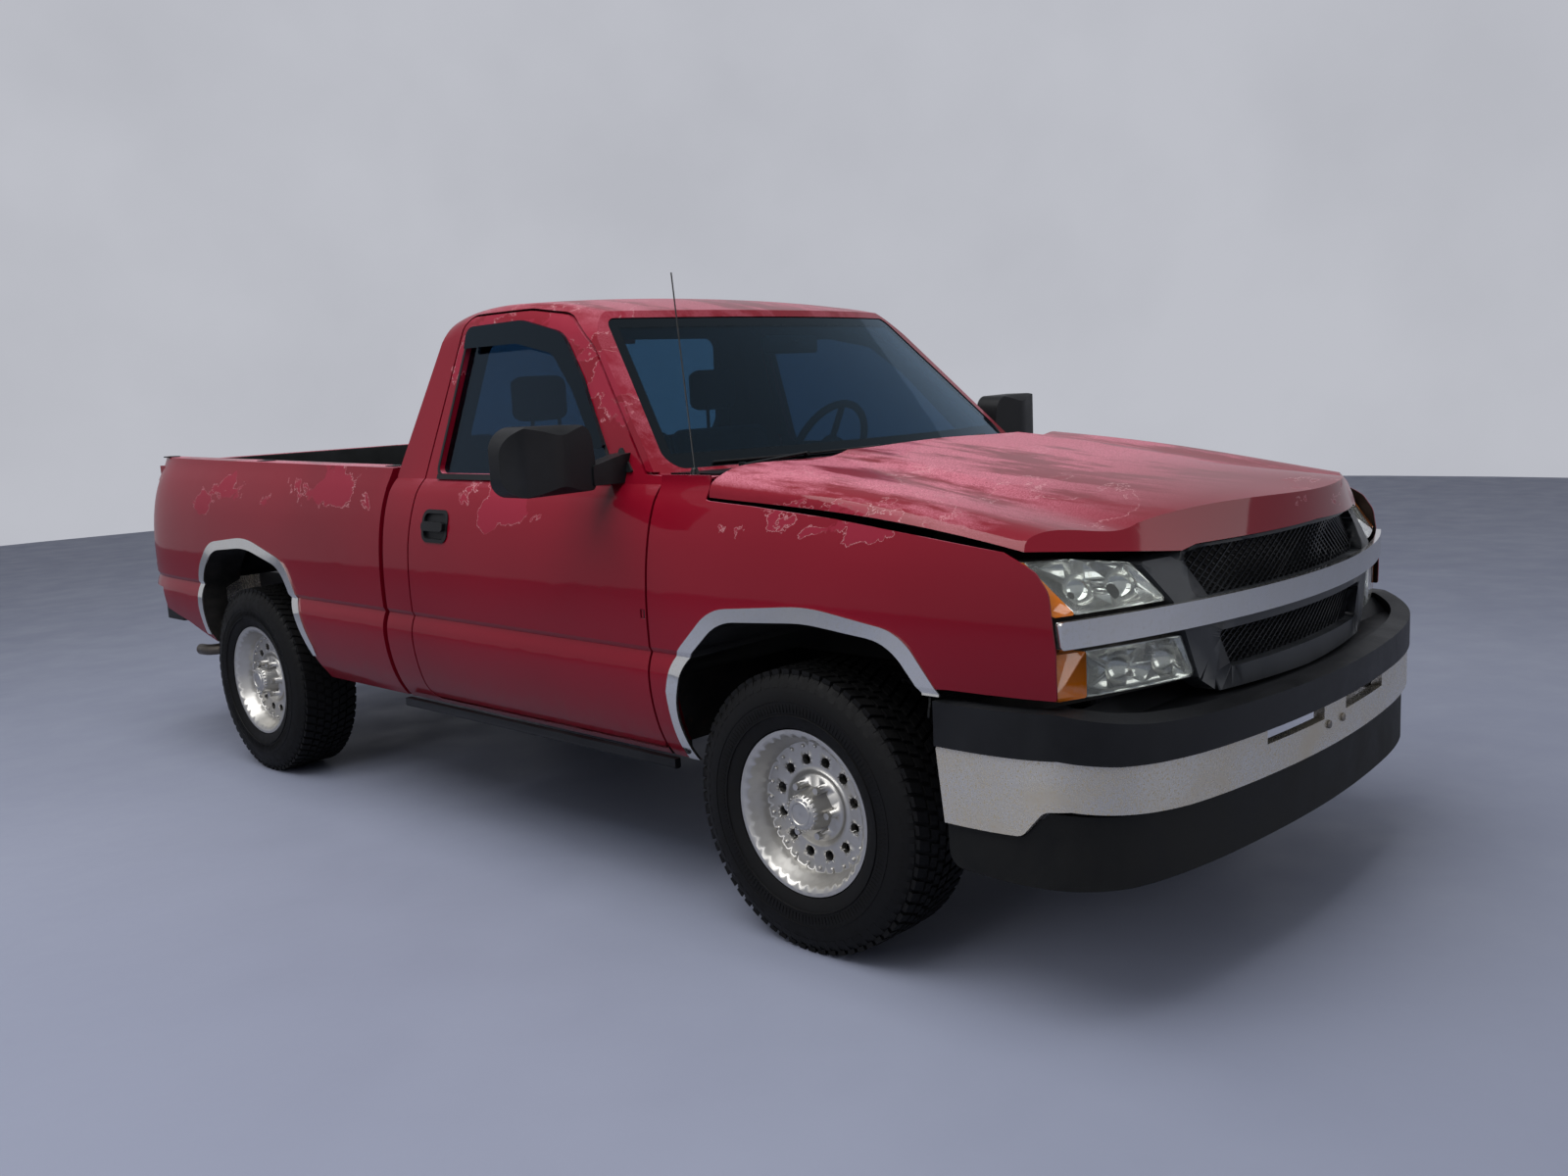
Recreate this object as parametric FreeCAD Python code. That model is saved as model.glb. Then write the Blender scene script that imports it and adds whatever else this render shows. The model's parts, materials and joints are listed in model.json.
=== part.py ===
import FreeCAD, Part
import math
import os

# Full-size pickup truck with a regular cab and a short bed.
# Frame: +X to the truck's left, +Y to its rear, +Z up, origin on the ground
# below the middle of its length. All lengths are in millimetres.

V = FreeCAD.Vector

# Overall body
body_half_width = 994
body_rear = 2445
sill_height = 445
panel_gap = 8
skin = 5

# Wheels
wheelbase = 3023
front_axle_y = -1606
rear_axle_y = front_axle_y + wheelbase
tyre_radius = 381
tyre_half_width = 130
track_half = 850
rim_radius = 203
rim_lip_radius = 222
rim_half_width = 115
rim_hole_count = 12
rim_hole_radius = 14
rim_hole_circle = 130
hub_radius = 92
hub_cap_radius = 47
stud_circle = 139.7
stud_count = 6
stud_radius = 7
rotor_radius = 155
rotor_thickness = 24
spindle_radius = 19.5
spindle_clearance = 0.5

# Steering
steer_axis_x = 740
steering_arm_length = 120
rod_radius = 11
rod_gap = 0.6
upper_joint = 165
lower_joint = 120
steering_wheel_x = 400
steering_wheel_y = -547
steering_wheel_z = 1229
steering_wheel_radius = 190
steering_wheel_tilt = 25

# Cab
cab_front = -1150
cab_rear = 322
cab_floor = 560
floor_depth = 28
tunnel_half = 235
door_front = -1074
door_front_gap = 9
door_axis_x = 982
door_axis_y = -1051
hinge_pin = 3.5
hinge_eye = 5.5
door_rear = 165
door_bottom = 462
door_skin = 12
door_depth = 80
frame_depth = 44
jamb_start = 17
jamb_inset = 20
inner_inset = 34
belt_height = 1250
roof_height = 1808
roof_half_width = 706
greenhouse_lean = 0.34
pillar_wall = 46
glass_thickness = 5
glass_play = 0.3
windshield_slope = 1.08
windshield_base_y = -1210
windshield_base_z = 1240
windshield_bow = 170
back_lean = 0.24

# Hood and nose
nose_y = -2550
nose_bow = 180
nose_half_width = 950
lamp_back = 76
nose_knee = 950
nose_crown = 1180
nose_bend = 500
hood_lip = 1085
lip_y = -2545
lip_bow = 105
lip_sweep = 0.39
hood_rear = -1280
hood_depth = 26
hood_side = 8
hood_gap = 6
hood_axis_y = -1240
hood_axis_z = 1235
hood_hinge_x = 813

cowl_top = 1250

# Bed
bed_front = 350
bed_floor = 790
bed_inner_half = 828
groove_pitch = 112
groove_width = 48
groove_depth = 3
rail_inner_half = 795
rail_front_height = 1256
rail_rear_height = 1286
wheelhouse_half = 640
gate_thickness = 48
gate_bottom = 772
gate_half = 789
gate_axis_y = body_rear - 43
gate_axis_z = 785
gate_pin = 9
gate_gap = 6

# Bumpers
bumper_y = -2606
bumper_steel = 28
bumper_top = 612
bumper_bottom = 498
bumper_end_y = -2062
cover_proud = 6
ball_hole_y = 2525
ball_hole_radius = 10
plate_hole_spacing = 177.8
plate_hole_radius = 3.2

# Frame
rail_x = 385
rail_width = 72
rail_height = 150
axle_tube_radius = 42
pinion_reach = 250
driveshaft_radius = 38
driveshaft_front_y = -560
driveshaft_front_z = 470
pinion_x = 60
pinion_z = 397
exhaust_radius = 25
seat_gap = 0.3
mesh_pitch_wide = 30
mesh_pitch_high = 19
mesh_bar_width = 4
mesh_bar_depth = 4
mesh_front = 44
mesh_layer_gap = 1
mesh_seat = 7
lens_thickness = 3.5
lamp_face = 20


def mapped(plane, depth, u, v):
    """A point of a plane: side is (y, z), front is (x, z), plan is (x, y)."""
    if plane == "side":
        return V(depth, u, v)
    if plane == "front":
        return V(u, depth, v)
    return V(u, v, depth)


def outline(plane, depth, corners):
    """Closed wire through corners (u, v, radius), each rounded by its radius."""
    count = len(corners)
    starts = []
    arcs = []
    for index in range(count):
        u, v, radius = corners[index]
        before = corners[index - 1]
        after = corners[(index + 1) % count]
        here = V(u, v, 0)
        back = V(before[0], before[1], 0) - here
        ahead = V(after[0], after[1], 0) - here
        angle = back.getAngle(ahead)
        if radius <= 0 or angle > math.pi - 0.02:
            starts.append((here, here))
            arcs.append(None)
            continue
        reach = radius / math.tan(angle / 2)
        reach = min(reach, 0.49 * back.Length, 0.49 * ahead.Length)
        rounding = reach * math.tan(angle / 2)
        back.normalize()
        ahead.normalize()
        middle = back + ahead
        middle.normalize()
        centre = here + middle * (rounding / math.sin(angle / 2))
        top = centre - middle * rounding
        starts.append((here + back * reach, here + ahead * reach))
        arcs.append(top)
    edges = []
    for index in range(count):
        enter, leave = starts[index]
        if arcs[index] is not None:
            points = [mapped(plane, depth, p.x, p.y) for p in (enter, arcs[index], leave)]
            edges.append(Part.Arc(*points).toShape())
        following = starts[(index + 1) % count][0]
        if (following - leave).Length > 0.01:
            first = mapped(plane, depth, leave.x, leave.y)
            last = mapped(plane, depth, following.x, following.y)
            edges.append(Part.LineSegment(first, last).toShape())
    return Part.Wire(edges)


def prism(plane, corners, start, end):
    """An outline made solid from one depth to another."""
    face = Part.Face(outline(plane, start, corners))
    run = end - start
    along = {"side": V(run, 0, 0), "front": V(0, run, 0), "plan": V(0, 0, run)}
    return face.extrude(along[plane])


def block(x0, x1, y0, y1, z0, z1):
    return Part.makeBox(x1 - x0, y1 - y0, z1 - z0, V(x0, y0, z0))


def rod(start, end, radius):
    run = end - start
    return Part.makeCylinder(radius, run.Length, start, run)


def fused(shapes):
    return shapes[0].multiFuse(shapes[1:]).removeSplitter()


def mirrored(shape):
    return shape.mirror(V(0, 0, 0), V(1, 0, 0))


def pair(shape):
    return Part.makeCompound([shape, mirrored(shape)])


def solids(shape):
    """Only the solids of a shape, as a compound or as the one solid."""
    found = shape.Solids
    if len(found) == 1:
        return found[0]
    return Part.makeCompound(found)


def smooth(points):
    curve = Part.BSplineCurve()
    curve.interpolate(points)
    return curve.toShape()


def bent_pipe(points, radius, bend):
    """A round bar along straight runs with tangent arcs at its corners."""
    edges = []
    last = points[0]
    for index in range(1, len(points) - 1):
        here = points[index]
        back = points[index - 1] - here
        ahead = points[index + 1] - here
        angle = back.getAngle(ahead)
        reach = min(bend / math.tan(angle / 2), 0.45 * back.Length, 0.45 * ahead.Length)
        rounding = reach * math.tan(angle / 2)
        back.normalize()
        ahead.normalize()
        middle = back + ahead
        middle.normalize()
        top = here + middle * (rounding / math.sin(angle / 2) - rounding)
        enter = here + back * reach
        edges.append(Part.LineSegment(last, enter).toShape())
        last = here + ahead * reach
        edges.append(Part.Arc(enter, top, last).toShape())
    edges.append(Part.LineSegment(last, points[-1]).toShape())
    path = Part.Wire(edges)
    circle = Part.Wire(Part.makeCircle(radius, points[0], points[1] - points[0]))
    return path.makePipeShell([circle], True, True)


# Body side: half width at each height, as insets from the widest point
side_runs = [
    [(79, sill_height), (43, 500), (10, 600), (1, 660), (0, 700)],
    [(0, 700), (4, 723), (17, 757)],
    [(17, 757), (9, 772)],
    [(9, 772), (6, 860), (9, 950), (21, 1050), (47, 1150), (57, 1175)],
    [(57, 1175), (70, 1195), (81, 1215), (88, 1252)],
]
cab_runs = side_runs[:4] + [[(57, 1175), (70, 1195), (84, 1212), (93, 1221)]]
bed_runs = side_runs[:4] + [[(57, 1175), (68, 1200), (82, 1225), (100, 1262), (112, 1310)]]


def side_edges(runs, y, shift):
    """The body side's profile on the right, moved inwards by shift."""
    edges = []
    for run in runs:
        points = [V(-(body_half_width - inset - shift), y, z) for inset, z in run]
        if len(points) == 2:
            edges.append(Part.LineSegment(points[0], points[1]).toShape())
        else:
            edges.append(smooth(points))
    return edges


def side_section(runs, y, outer, inner):
    outer_edges = side_edges(runs, y, outer)
    inner_edges = side_edges(runs, y, inner)
    low = runs[0][0]
    high = runs[-1][-1]
    bottom = Part.LineSegment(
        V(-(body_half_width - low[0] - inner), y, low[1]),
        V(-(body_half_width - low[0] - outer), y, low[1])).toShape()
    top = Part.LineSegment(
        V(-(body_half_width - high[0] - outer), y, high[1]),
        V(-(body_half_width - high[0] - inner), y, high[1])).toShape()
    return Part.Wire([bottom] + outer_edges + [top] + inner_edges[::-1])


def straight_side(y0, y1, outer, inner):
    """The side's layer between two depths, where the plan is straight."""
    face = Part.Face(side_section(cab_runs, y0, outer, inner))
    return face.extrude(V(0, y1 - y0, 0))


def tapered_side(runs, stations, outer, inner):
    """The side's layer between two depths, narrowed at stations (y, inset)."""
    sections = [side_section(runs, y, outer + inset, inner + inset) for y, inset in stations]
    return Part.makeLoft(sections, True, True)


fender_stations = [(door_front, 0), (-1800, 0), (-1950, 2), (-2080, 7), (-2200, 15), (-2300, 26), (-2400, 46)]
bed_stations = [(bed_front, 0), (1700, 0), (1850, 2), (2000, 6), (2130, 12), (2230, 20), (2310, 32),
                (2370, 47), (2415, 62), (body_rear, 80)]


# Wheel arches: outlines about the axle, as (dy, z, radius)
front_arch = [(-425, 640, 0), (-425, 745, 60), (-330, 868, 150), (-60, 892, 600), (250, 868, 180),
              (395, 742, 180), (438, 600, 250), (420, 380, 0), (420, 300, 0), (-425, 300, 0)]
rear_arch = [(-520, 300, 0), (-520, 470, 0), (-420, 700, 120), (-330, 868, 150), (-40, 934, 500),
             (260, 908, 180), (376, 800, 180), (400, 560, 150), (360, 440, 0), (360, 300, 0)]


def arch_cutter(arch, axle_y, grow, x0, x1):
    """The opening of a wheel arch, grown outwards by a margin."""
    centre_z = 600
    corners = []
    for dy, z, radius in arch:
        reach = math.hypot(dy, z - centre_z)
        factor = 1 + grow / reach
        corners.append((axle_y + dy * factor, centre_z + (z - centre_z) * factor, radius))
    return prism("side", corners, x0, x1)


# Greenhouse: cross sections along the cab, as (y, height at the middle)
roof_stations = [(-1300, 1690), (-900, 1712), (-672, 1736), (-480, 1776), (-200, roof_height),
                 (60, 1803), (210, 1776), (360, 1700)]


def greenhouse_section(y, top, inset):
    half_base = 905 - inset
    half_roof = roof_half_width - inset
    base_z = 1205
    top = top - inset
    shoulder_z = top - 95
    shoulder = half_base - greenhouse_lean * (shoulder_z - base_z)
    left = [V(shoulder, y, shoulder_z), V(half_roof + 2, y, top - 48), V(half_roof - 42, y, top - 22)]
    crown = [left[-1], V(half_roof * 0.55, y, top - 7), V(0, y, top),
             V(-half_roof * 0.55, y, top - 7), V(-left[-1].x, y, left[-1].z)]
    right = [V(-p.x, p.y, p.z) for p in left[::-1]]
    base_left = V(half_base, y, base_z)
    base_right = V(-half_base, y, base_z)
    return Part.Wire([
        Part.LineSegment(base_left, left[0]).toShape(),
        smooth(left),
        smooth(crown),
        smooth(right),
        Part.LineSegment(right[-1], base_right).toShape(),
        Part.LineSegment(base_right, base_left).toShape()])


def greenhouse(inset):
    sections = [greenhouse_section(y, top, inset) for y, top in roof_stations]
    return Part.makeLoft(sections, True, False)


def ahead_of_windshield(offset):
    """Everything in front of the windshield's bowed, sloping surface."""
    low = windshield_base_z - 60
    rise = 700
    start = windshield_base_y - 60 * windshield_slope + offset
    wide = 1100
    bow = windshield_bow * (wide / 870.0) ** 2
    arc = Part.Arc(V(-wide, start + bow, low), V(0, start, low), V(wide, start + bow, low)).toShape()
    ends = [V(wide, start + bow, low), V(wide, start - 1500, low), V(-wide, start - 1500, low),
            V(-wide, start + bow, low)]
    lines = [Part.LineSegment(ends[i], ends[i + 1]).toShape() for i in range(3)]
    face = Part.Face(Part.Wire([arc] + lines))
    return face.extrude(V(0, rise * windshield_slope, rise))


def behind_cab(offset):
    """Everything behind the cab's sloping back, above the belt."""
    low = 1236
    edge = cab_rear + offset
    rise = 700
    corners = [(edge, low - 60, 0), (edge + 900, low - 60, 0), (edge + 900, low + rise, 0),
               (edge - back_lean * rise, low + rise, 0), (edge, low, 0)]
    return prism("side", corners, -1200, 1200)


door_outline = [
    (door_front, door_bottom, 30), (door_rear, door_bottom, 60), (door_rear, 1000, 0),
    (door_rear - 15, belt_height - 34, 0), (door_rear - 66, 1766, 60), (-260, 1766, 300),
    (-470, 1738, 200), (-640, 1628, 400), (-990, belt_height + 6, 14), (door_front, belt_height + 2, 6)]
window_outline = [
    (-850, 1240, 12), (70, 1240, 25), (52, 1712, 35), (-250, 1716, 200), (-470, 1664, 150),
    (-610, 1524, 300)]


hinge_heights = (680, 865)


def inset_outline(corners, distance, front=None):
    """The same corners moved inwards about each one's two sides."""
    count = len(corners)
    result = []
    for index in range(count):
        u, v, radius = corners[index]
        before = V(corners[index - 1][0], corners[index - 1][1], 0)
        here = V(u, v, 0)
        after = V(corners[(index + 1) % count][0], corners[(index + 1) % count][1], 0)
        enter = here - before
        leave = after - here
        enter.normalize()
        leave.normalize()
        first = V(-enter.y, enter.x, 0)
        second = V(-leave.y, leave.x, 0)
        bisector = first + second
        bisector.normalize()
        scale = distance / max(0.3, bisector.dot(first))
        place = here + bisector * scale
        if front is not None and u < door_front + 1:
            place = V(door_front + front, place.y, 0)
        result.append((place.x, place.y, max(radius - distance, 3) if radius else 0))
    return result


def side_layer(outer, inner_low, inner_high):
    """Cab side from the sill to the roof between depths, on the right."""
    low = straight_side(door_front - 40, cab_rear, outer, inner_low)
    high = greenhouse(outer).cut(greenhouse(inner_high))
    right = block(-1100, -560, -1300, 400, 1206, 1900)
    return low.fuse(high.common(right))


def door_panel():
    outer_edge = inset_outline(door_outline, panel_gap, door_front_gap)
    inner_edge = inset_outline(door_outline, inner_inset, inner_inset + 6)
    outer = side_layer(0, door_skin, door_skin).common(prism("side", outer_edge, -1100, -500))
    inner = side_layer(door_skin - 4, door_depth, frame_depth)
    inner = inner.common(prism("side", inner_edge, -1100, -500))
    door = outer.fuse(inner).cut(prism("side", window_outline, -1100, -500))
    door = door.cut(handle_prism(9).common(straight_side(-200, 200, -1, 9.8)))
    for z in hinge_heights:
        axis = V(-door_axis_x, door_axis_y, z)
        door = door.cut(Part.makeCylinder(hinge_eye + 5.5, 26, axis + V(0, 0, -13)))
        for low in (-28, 14):
            eye = Part.makeCylinder(hinge_eye, 14, axis + V(0, 0, low))
            tab = block(-door_axis_x - 3, -door_axis_x + 4, door_axis_y, door_axis_y + inner_inset,
                        z + low, z + low + 14)
            hole = Part.makeCylinder(hinge_pin + seat_gap, 20, axis + V(0, 0, low - 3))
            door = door.fuse(eye).fuse(tab).cut(hole)
    return door


def door_window():
    edge = inset_outline(window_outline, glass_play)
    start = 18
    layer = greenhouse(start).cut(greenhouse(start + glass_thickness))
    return solids(layer.common(prism("side", edge, -1100, -560)))


def door_fittings():
    """Mirror, outside handle, belt strip and window visor of one door."""
    face = prism("front", [(-1290, 1208, 58), (-1004, 1212, 20), (-985, 1240, 15), (-1008, 1398, 55),
                           (-1290, 1404, 75)], -1000, -700)
    shape = prism("plan", [(-980, -890, 25), (-980, -800, 8), (-1290, -800, 8), (-1293, -850, 25),
                           (-1250, -900, 50), (-1130, -932, 120)], 1100, 1500)
    ends = prism("side", [(-938, 1205, 62), (-800, 1205, 10), (-800, 1406, 10), (-938, 1406, 80)], -1300, -900)
    housing = face.common(shape).common(ends)
    arm = prism("front", [(-850, 1224, 0), (-850, 1310, 0), (-900, 1306, 10), (-1010, 1280, 10),
                          (-1010, 1224, 6)], -905, -845)
    sail = prism("side", [(-935, 1254, 3), (-856, 1254, 3), (-856, 1334, 8)], -1100, -700)
    sail = sail.common(greenhouse(-7))
    mirror = housing.fuse(arm).fuse(sail).cut(greenhouse(-seat_gap))
    recess = prism("front", [(-1276, 1222, 46), (-1014, 1226, 16), (-1000, 1250, 15), (-1020, 1386, 42),
                             (-1276, 1390, 60)], -806, -790)
    mirror = mirror.cut(recess)
    strip = prism("side", [(-840, 1222, 2), (62, 1222, 2), (62, 1239.5, 2), (-840, 1239.5, 2)], -1100, -700)
    strip = strip.common(greenhouse(-10).cut(greenhouse(-seat_gap)))
    bezel = handle_prism(0).common(straight_side(-200, 200, -4, -seat_gap))
    cup = handle_prism(9.4).common(straight_side(-200, 200, -4, 9.4))
    hollow = handle_prism(12).common(straight_side(-200, 200, -9, 7))
    bar = prism("side", [(-63, 1056, 12), (63, 1056, 12), (63, 1086, 12), (-63, 1086, 12)], -1003, -960)
    bar = bar.common(straight_side(-200, 200, -16, -7))
    posts = block(-1003, -950, -62, -48, 1060, 1082).fuse(block(-1003, -950, 48, 62, 1060, 1082))
    posts = posts.common(straight_side(-200, 200, -12, 8))
    handle = solids(bezel.fuse(cup).cut(hollow).fuse(bar).fuse(posts))
    seal = prism("side", inset_outline(window_outline, -11), -1100, -560)
    seal = seal.cut(prism("side", window_outline, -1100, -500))
    seal = seal.common(greenhouse(-3).cut(greenhouse(-seat_gap)))
    seal = seal.common(block(-1100, -560, -1100, 400, 1240, 1800))
    mirror = solids(mirror.fuse(seal))
    return Part.makeCompound(mirror.Solids + strip.Solids + handle.Solids)


def handle_prism(inset):
    """Rounded square of the handle's cup, drawn in by an inset."""
    return prism("side", [(inset - 75, inset + 1017, 32 - inset), (75 - inset, inset + 1017, 32 - inset),
                          (75 - inset, 1125 - inset, 32 - inset), (inset - 75, 1125 - inset, 32 - inset)],
                 -1010, -940)


def door_visor():
    """Smoked rain visor along the top and the front of one door's window."""
    band = prism("side", [(58, 1724, 30), (-250, 1729, 200), (-478, 1677, 150), (-624, 1533, 300),
                          (-792, 1324, 6), (-752, 1320, 6), (-584, 1500, 200), (-452, 1612, 120),
                          (-246, 1654, 180), (52, 1652, 6)], -1100, -500)
    rim_band = band.cut(prism("side", [(52, 1717, 30), (-250, 1722, 200), (-474, 1671, 150), (-619, 1529, 300),
                                       (-830, 1262, 6), (70, 1262, 6)], -1100, -500))
    shell = greenhouse(-15).cut(greenhouse(-11)).common(band)
    flange = greenhouse(-13).cut(greenhouse(-3.3)).common(rim_band)
    return solids(shell.fuse(flange))


def cab_shell():
    """Cab with its floor, firewall, pillars, roof and back, doors left out."""
    low_z = cab_runs[0][0][1]
    high_z = cab_runs[-1][-1][1]

    def full_section(y, depth):
        left = side_edges(cab_runs, y, depth)
        right = [mirrored(edge) for edge in left]
        half_low = body_half_width - cab_runs[0][0][0] - depth
        half_high = body_half_width - cab_runs[-1][-1][0] - depth
        bottom = Part.LineSegment(V(-half_low, y, low_z), V(half_low, y, low_z)).toShape()
        top = Part.LineSegment(V(-half_high, y, high_z), V(half_high, y, high_z)).toShape()
        wire = Part.Wire(Part.__sortEdges__([bottom, top] + left + right))
        return Part.Face(wire)

    main = full_section(door_front + 12, 0).extrude(V(0, cab_rear - door_front - 12, 0))
    pillars = full_section(cab_front, 32).extrude(V(0, door_front + 14 - cab_front, 0))
    pillars = pillars.common(block(-990, 990, cab_front, door_front + 14, 500, 1226))
    upper = greenhouse(0).cut(ahead_of_windshield(0)).cut(behind_cab(0))
    hull = main.fuse(pillars).fuse(upper)
    hollow_low = full_section(cab_front + 26, door_depth)
    hollow_low = hollow_low.extrude(V(0, cab_rear - 40 - cab_front - 26, 0))
    hollow_low = hollow_low.common(block(-990, 990, cab_front, cab_rear, cab_floor, 1300))
    hollow_low = hollow_low.fuse(block(-800, 800, cab_front + 26, cab_rear - 40, 1180, 1240))
    hollow_high = greenhouse(pillar_wall).cut(ahead_of_windshield(pillar_wall * 0.9))
    hollow_high = hollow_high.cut(behind_cab(-40))
    hull = hull.cut(hollow_low.fuse(hollow_high))
    under = block(-838, 838, cab_front - 50, cab_rear + 50, sill_height - 10, cab_floor - floor_depth)
    hull = hull.cut(under).cut(block(-1000, 1000, -1500, cab_front, 1190, 1229))
    tunnel = prism("side", [(cab_front, 540, 0), (-600, 540, 0), (-640, 562, 0), (-760, 615, 60),
                            (cab_front, 728, 0)], -tunnel_half, tunnel_half)
    bore = prism("side", [(cab_front - 10, 500, 0), (-640, 500, 0), (-654, 545, 0), (-764, 595, 60),
                          (cab_front - 10, 710, 0)], 18 - tunnel_half, tunnel_half - 18)
    hull = hull.fuse(tunnel).cut(bore)
    opening = prism("side", door_outline, -1100, -560)
    rabbet = opening.common(side_layer(-20, jamb_start, jamb_start))
    through = prism("side", inset_outline(door_outline, jamb_inset, jamb_inset), -1100, -560)
    hinge_room = block(-1100, -930, door_front - 20, door_front + 40, door_bottom, belt_height)
    for tool in (rabbet, through, hinge_room):
        hull = hull.cut(tool).cut(mirrored(tool))
    for z in hinge_heights:
        pin = Part.makeCylinder(hinge_pin, 56, V(-door_axis_x, door_axis_y, z - 28))
        leaf = block(-door_axis_x, -905, door_axis_y + 4, door_axis_y + 8.8, z - 10, z + 10)
        foot = block(-928, -905, door_axis_y - 14, door_axis_y + 8.8, z - 10, z + 10)
        knuckle_eye = Part.makeCylinder(hinge_eye + 1, 20, V(-door_axis_x, door_axis_y, z - 10))
        for piece in (pin, leaf, foot, knuckle_eye):
            hull = hull.fuse(piece).fuse(mirrored(piece))
    hood_lug = block(-hood_hinge_x - 15, -hood_hinge_x - 6, hood_axis_y - 8, cab_front + 2, 1200, 1221)
    hood_ear = block(-hood_hinge_x - 15, -hood_hinge_x - 6, hood_axis_y - 8, hood_axis_y + 8, 1200, 1241)
    hood_pin = rod(V(-hood_hinge_x - 15, hood_axis_y, hood_axis_z), V(-hood_hinge_x + 7, hood_axis_y, hood_axis_z), 4)
    for piece in (hood_lug, hood_ear, hood_pin):
        hull = hull.fuse(piece).fuse(mirrored(piece))
    windshield = prism("front", windshield_corners(4), -1400, -450)
    hull = hull.cut(windshield.common(ahead_of_windshield(pillar_wall + 40)))
    back = prism("front", back_window_corners(3), cab_rear - 280, cab_rear + 20)
    hull = hull.cut(back)
    return solids(hull)


def windshield_corners(grow):
    return [(-842 - grow, 1262 - grow, 40), (842 + grow, 1262 - grow, 40),
            (676 + grow, 1708 + grow, 45), (-676 - grow, 1708 + grow, 45)]


def back_window_corners(grow):
    return [(-640 - grow, 1300 - grow, 60), (640 + grow, 1300 - grow, 60),
            (560 + grow, 1680 + grow, 60), (-560 - grow, 1680 + grow, 60)]


def cab_glass():
    front = ahead_of_windshield(4 + glass_thickness).cut(ahead_of_windshield(4))
    front = front.common(prism("front", windshield_corners(3.7), -1400, -450))
    back = behind_cab(-10 - glass_thickness).cut(behind_cab(-10))
    back = back.common(prism("front", back_window_corners(2.7), -200, cab_rear + 20))
    return Part.makeCompound(front.Solids + back.Solids)


def cowl_panel():
    """Plastic tray between the hood's rear edge and the windshield."""
    top = cowl_top
    tray = prism("side", [(hood_rear - 150, top - 21, 0), (-1040, top - 21, 0), (-1040, top, 4),
                          (hood_rear - 150, top, 0)], -846, 846)
    tray = tray.common(ahead_of_windshield(-2))
    low = prism("side", [(-1230, top - 28, 0), (cab_front - seat_gap, top - 28, 0),
                         (cab_front - seat_gap, top - 21.3, 0), (-1230, top - 21.3, 0)], -800, 800)
    front = block(-846, 846, -1500, -1222, top - 28, top - 21)
    body = tray.fuse(low).fuse(front)
    body = body.cut(hood_room())
    for sign in (-1, 1):
        inner = sign * (hood_hinge_x - 10)
        outer = sign * (hood_hinge_x + 20)
        slot = block(min(inner, outer), max(inner, outer), -1400, hood_axis_y + 14, 1190, 1300)
        body = body.cut(slot)
    nozzle = rod(V(-300, -1230, top - 4), V(-300, -1230, top + 8), 8)
    return solids(body.fuse(nozzle).fuse(mirrored(nozzle)))


def hood_section(y, centre, crease, crease_x, edge, low):
    """One cross section of the hood at a station along it."""
    side_x = 890
    flank = [V(-crease_x, y, crease), V(-crease_x - 70, y, crease - 15),
             V(-790, y, (crease + edge) / 2 + 2), V(-side_x, y, edge)]
    middle = [V(-crease_x, y, crease), V(-crease_x * 0.5, y, centre - 5), V(0, y, centre),
              V(crease_x * 0.5, y, centre - 5), V(crease_x, y, crease)]
    fall = [flank[-1], V(-914, y, edge - 16), V(-922, y, low)]
    left = [[V(-p.x, p.y, p.z) for p in run] for run in (flank, fall)]
    return Part.Wire([
        smooth(fall[::-1]),
        smooth(flank[::-1]),
        smooth(middle),
        smooth(left[0]),
        smooth(left[1]),
        Part.LineSegment(left[1][-1], fall[-1]).toShape()])


# Hood stations: y, middle height, crease height, crease half width, edge height, lower edge
hood_stations = [
    (-1200, 1308, 1304, 425, 1252, 1198), (-1444, 1288, 1279, 450, 1229, 1183),
    (-1866, 1232, 1214, 505, 1186, 1154), (-2200, 1195, 1158, 565, 1132, 1108),
    (-2435, 1172, 1120, 625, 1092, 1062), (-2620, 1150, 1084, 665, 1054, 1020)]


def hood_loft(drop, narrow):
    sections = []
    for y, centre, crease, crease_x, edge, low in hood_stations:
        wire = hood_section(y, centre, crease, crease_x, edge, low)
        if narrow:
            matrix = FreeCAD.Matrix()
            matrix.scale(V(1 - narrow / 922.0, 1, 1))
            wire = wire.transformGeometry(matrix)
            wire.translate(V(0, 0, -drop))
        sections.append(wire)
    return Part.makeLoft(sections, True, False)


def nose_plan(x, z):
    """Distance along the truck of the nose's face, which leans back above the knee."""
    low = nose_y + nose_bow * (x / nose_half_width) ** 2
    if z <= nose_knee:
        return low
    inner = min(abs(x), nose_bend)
    high = lip_y + lip_bow * (inner / nose_bend) ** 2 + lip_sweep * (abs(x) - inner)
    return low + (high - low) * (z - nose_knee) / (hood_lip - nose_knee)


def nose_level(z, front, back):
    """One level of the leaning nose between two depths."""
    half = [V(x, nose_plan(x, z), z) for x in (-925, -720, -500, -250, 0)]
    points = half + [V(-p.x, p.y, z) for p in half[-2::-1]]
    slope = (points[1] - points[0]) * (85 / (points[1] - points[0]).x)
    points = [points[0] - slope] + points + [V(-points[0].x + slope.x, points[0].y - slope.y, z)]
    near = [p + V(0, front, 0) for p in points]
    far = [p + V(0, back, 0) for p in points]
    return Part.Wire([
        smooth(near),
        Part.LineSegment(near[-1], far[-1]).toShape(),
        smooth(far[::-1]),
        Part.LineSegment(far[0], near[0]).toShape()])


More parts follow.
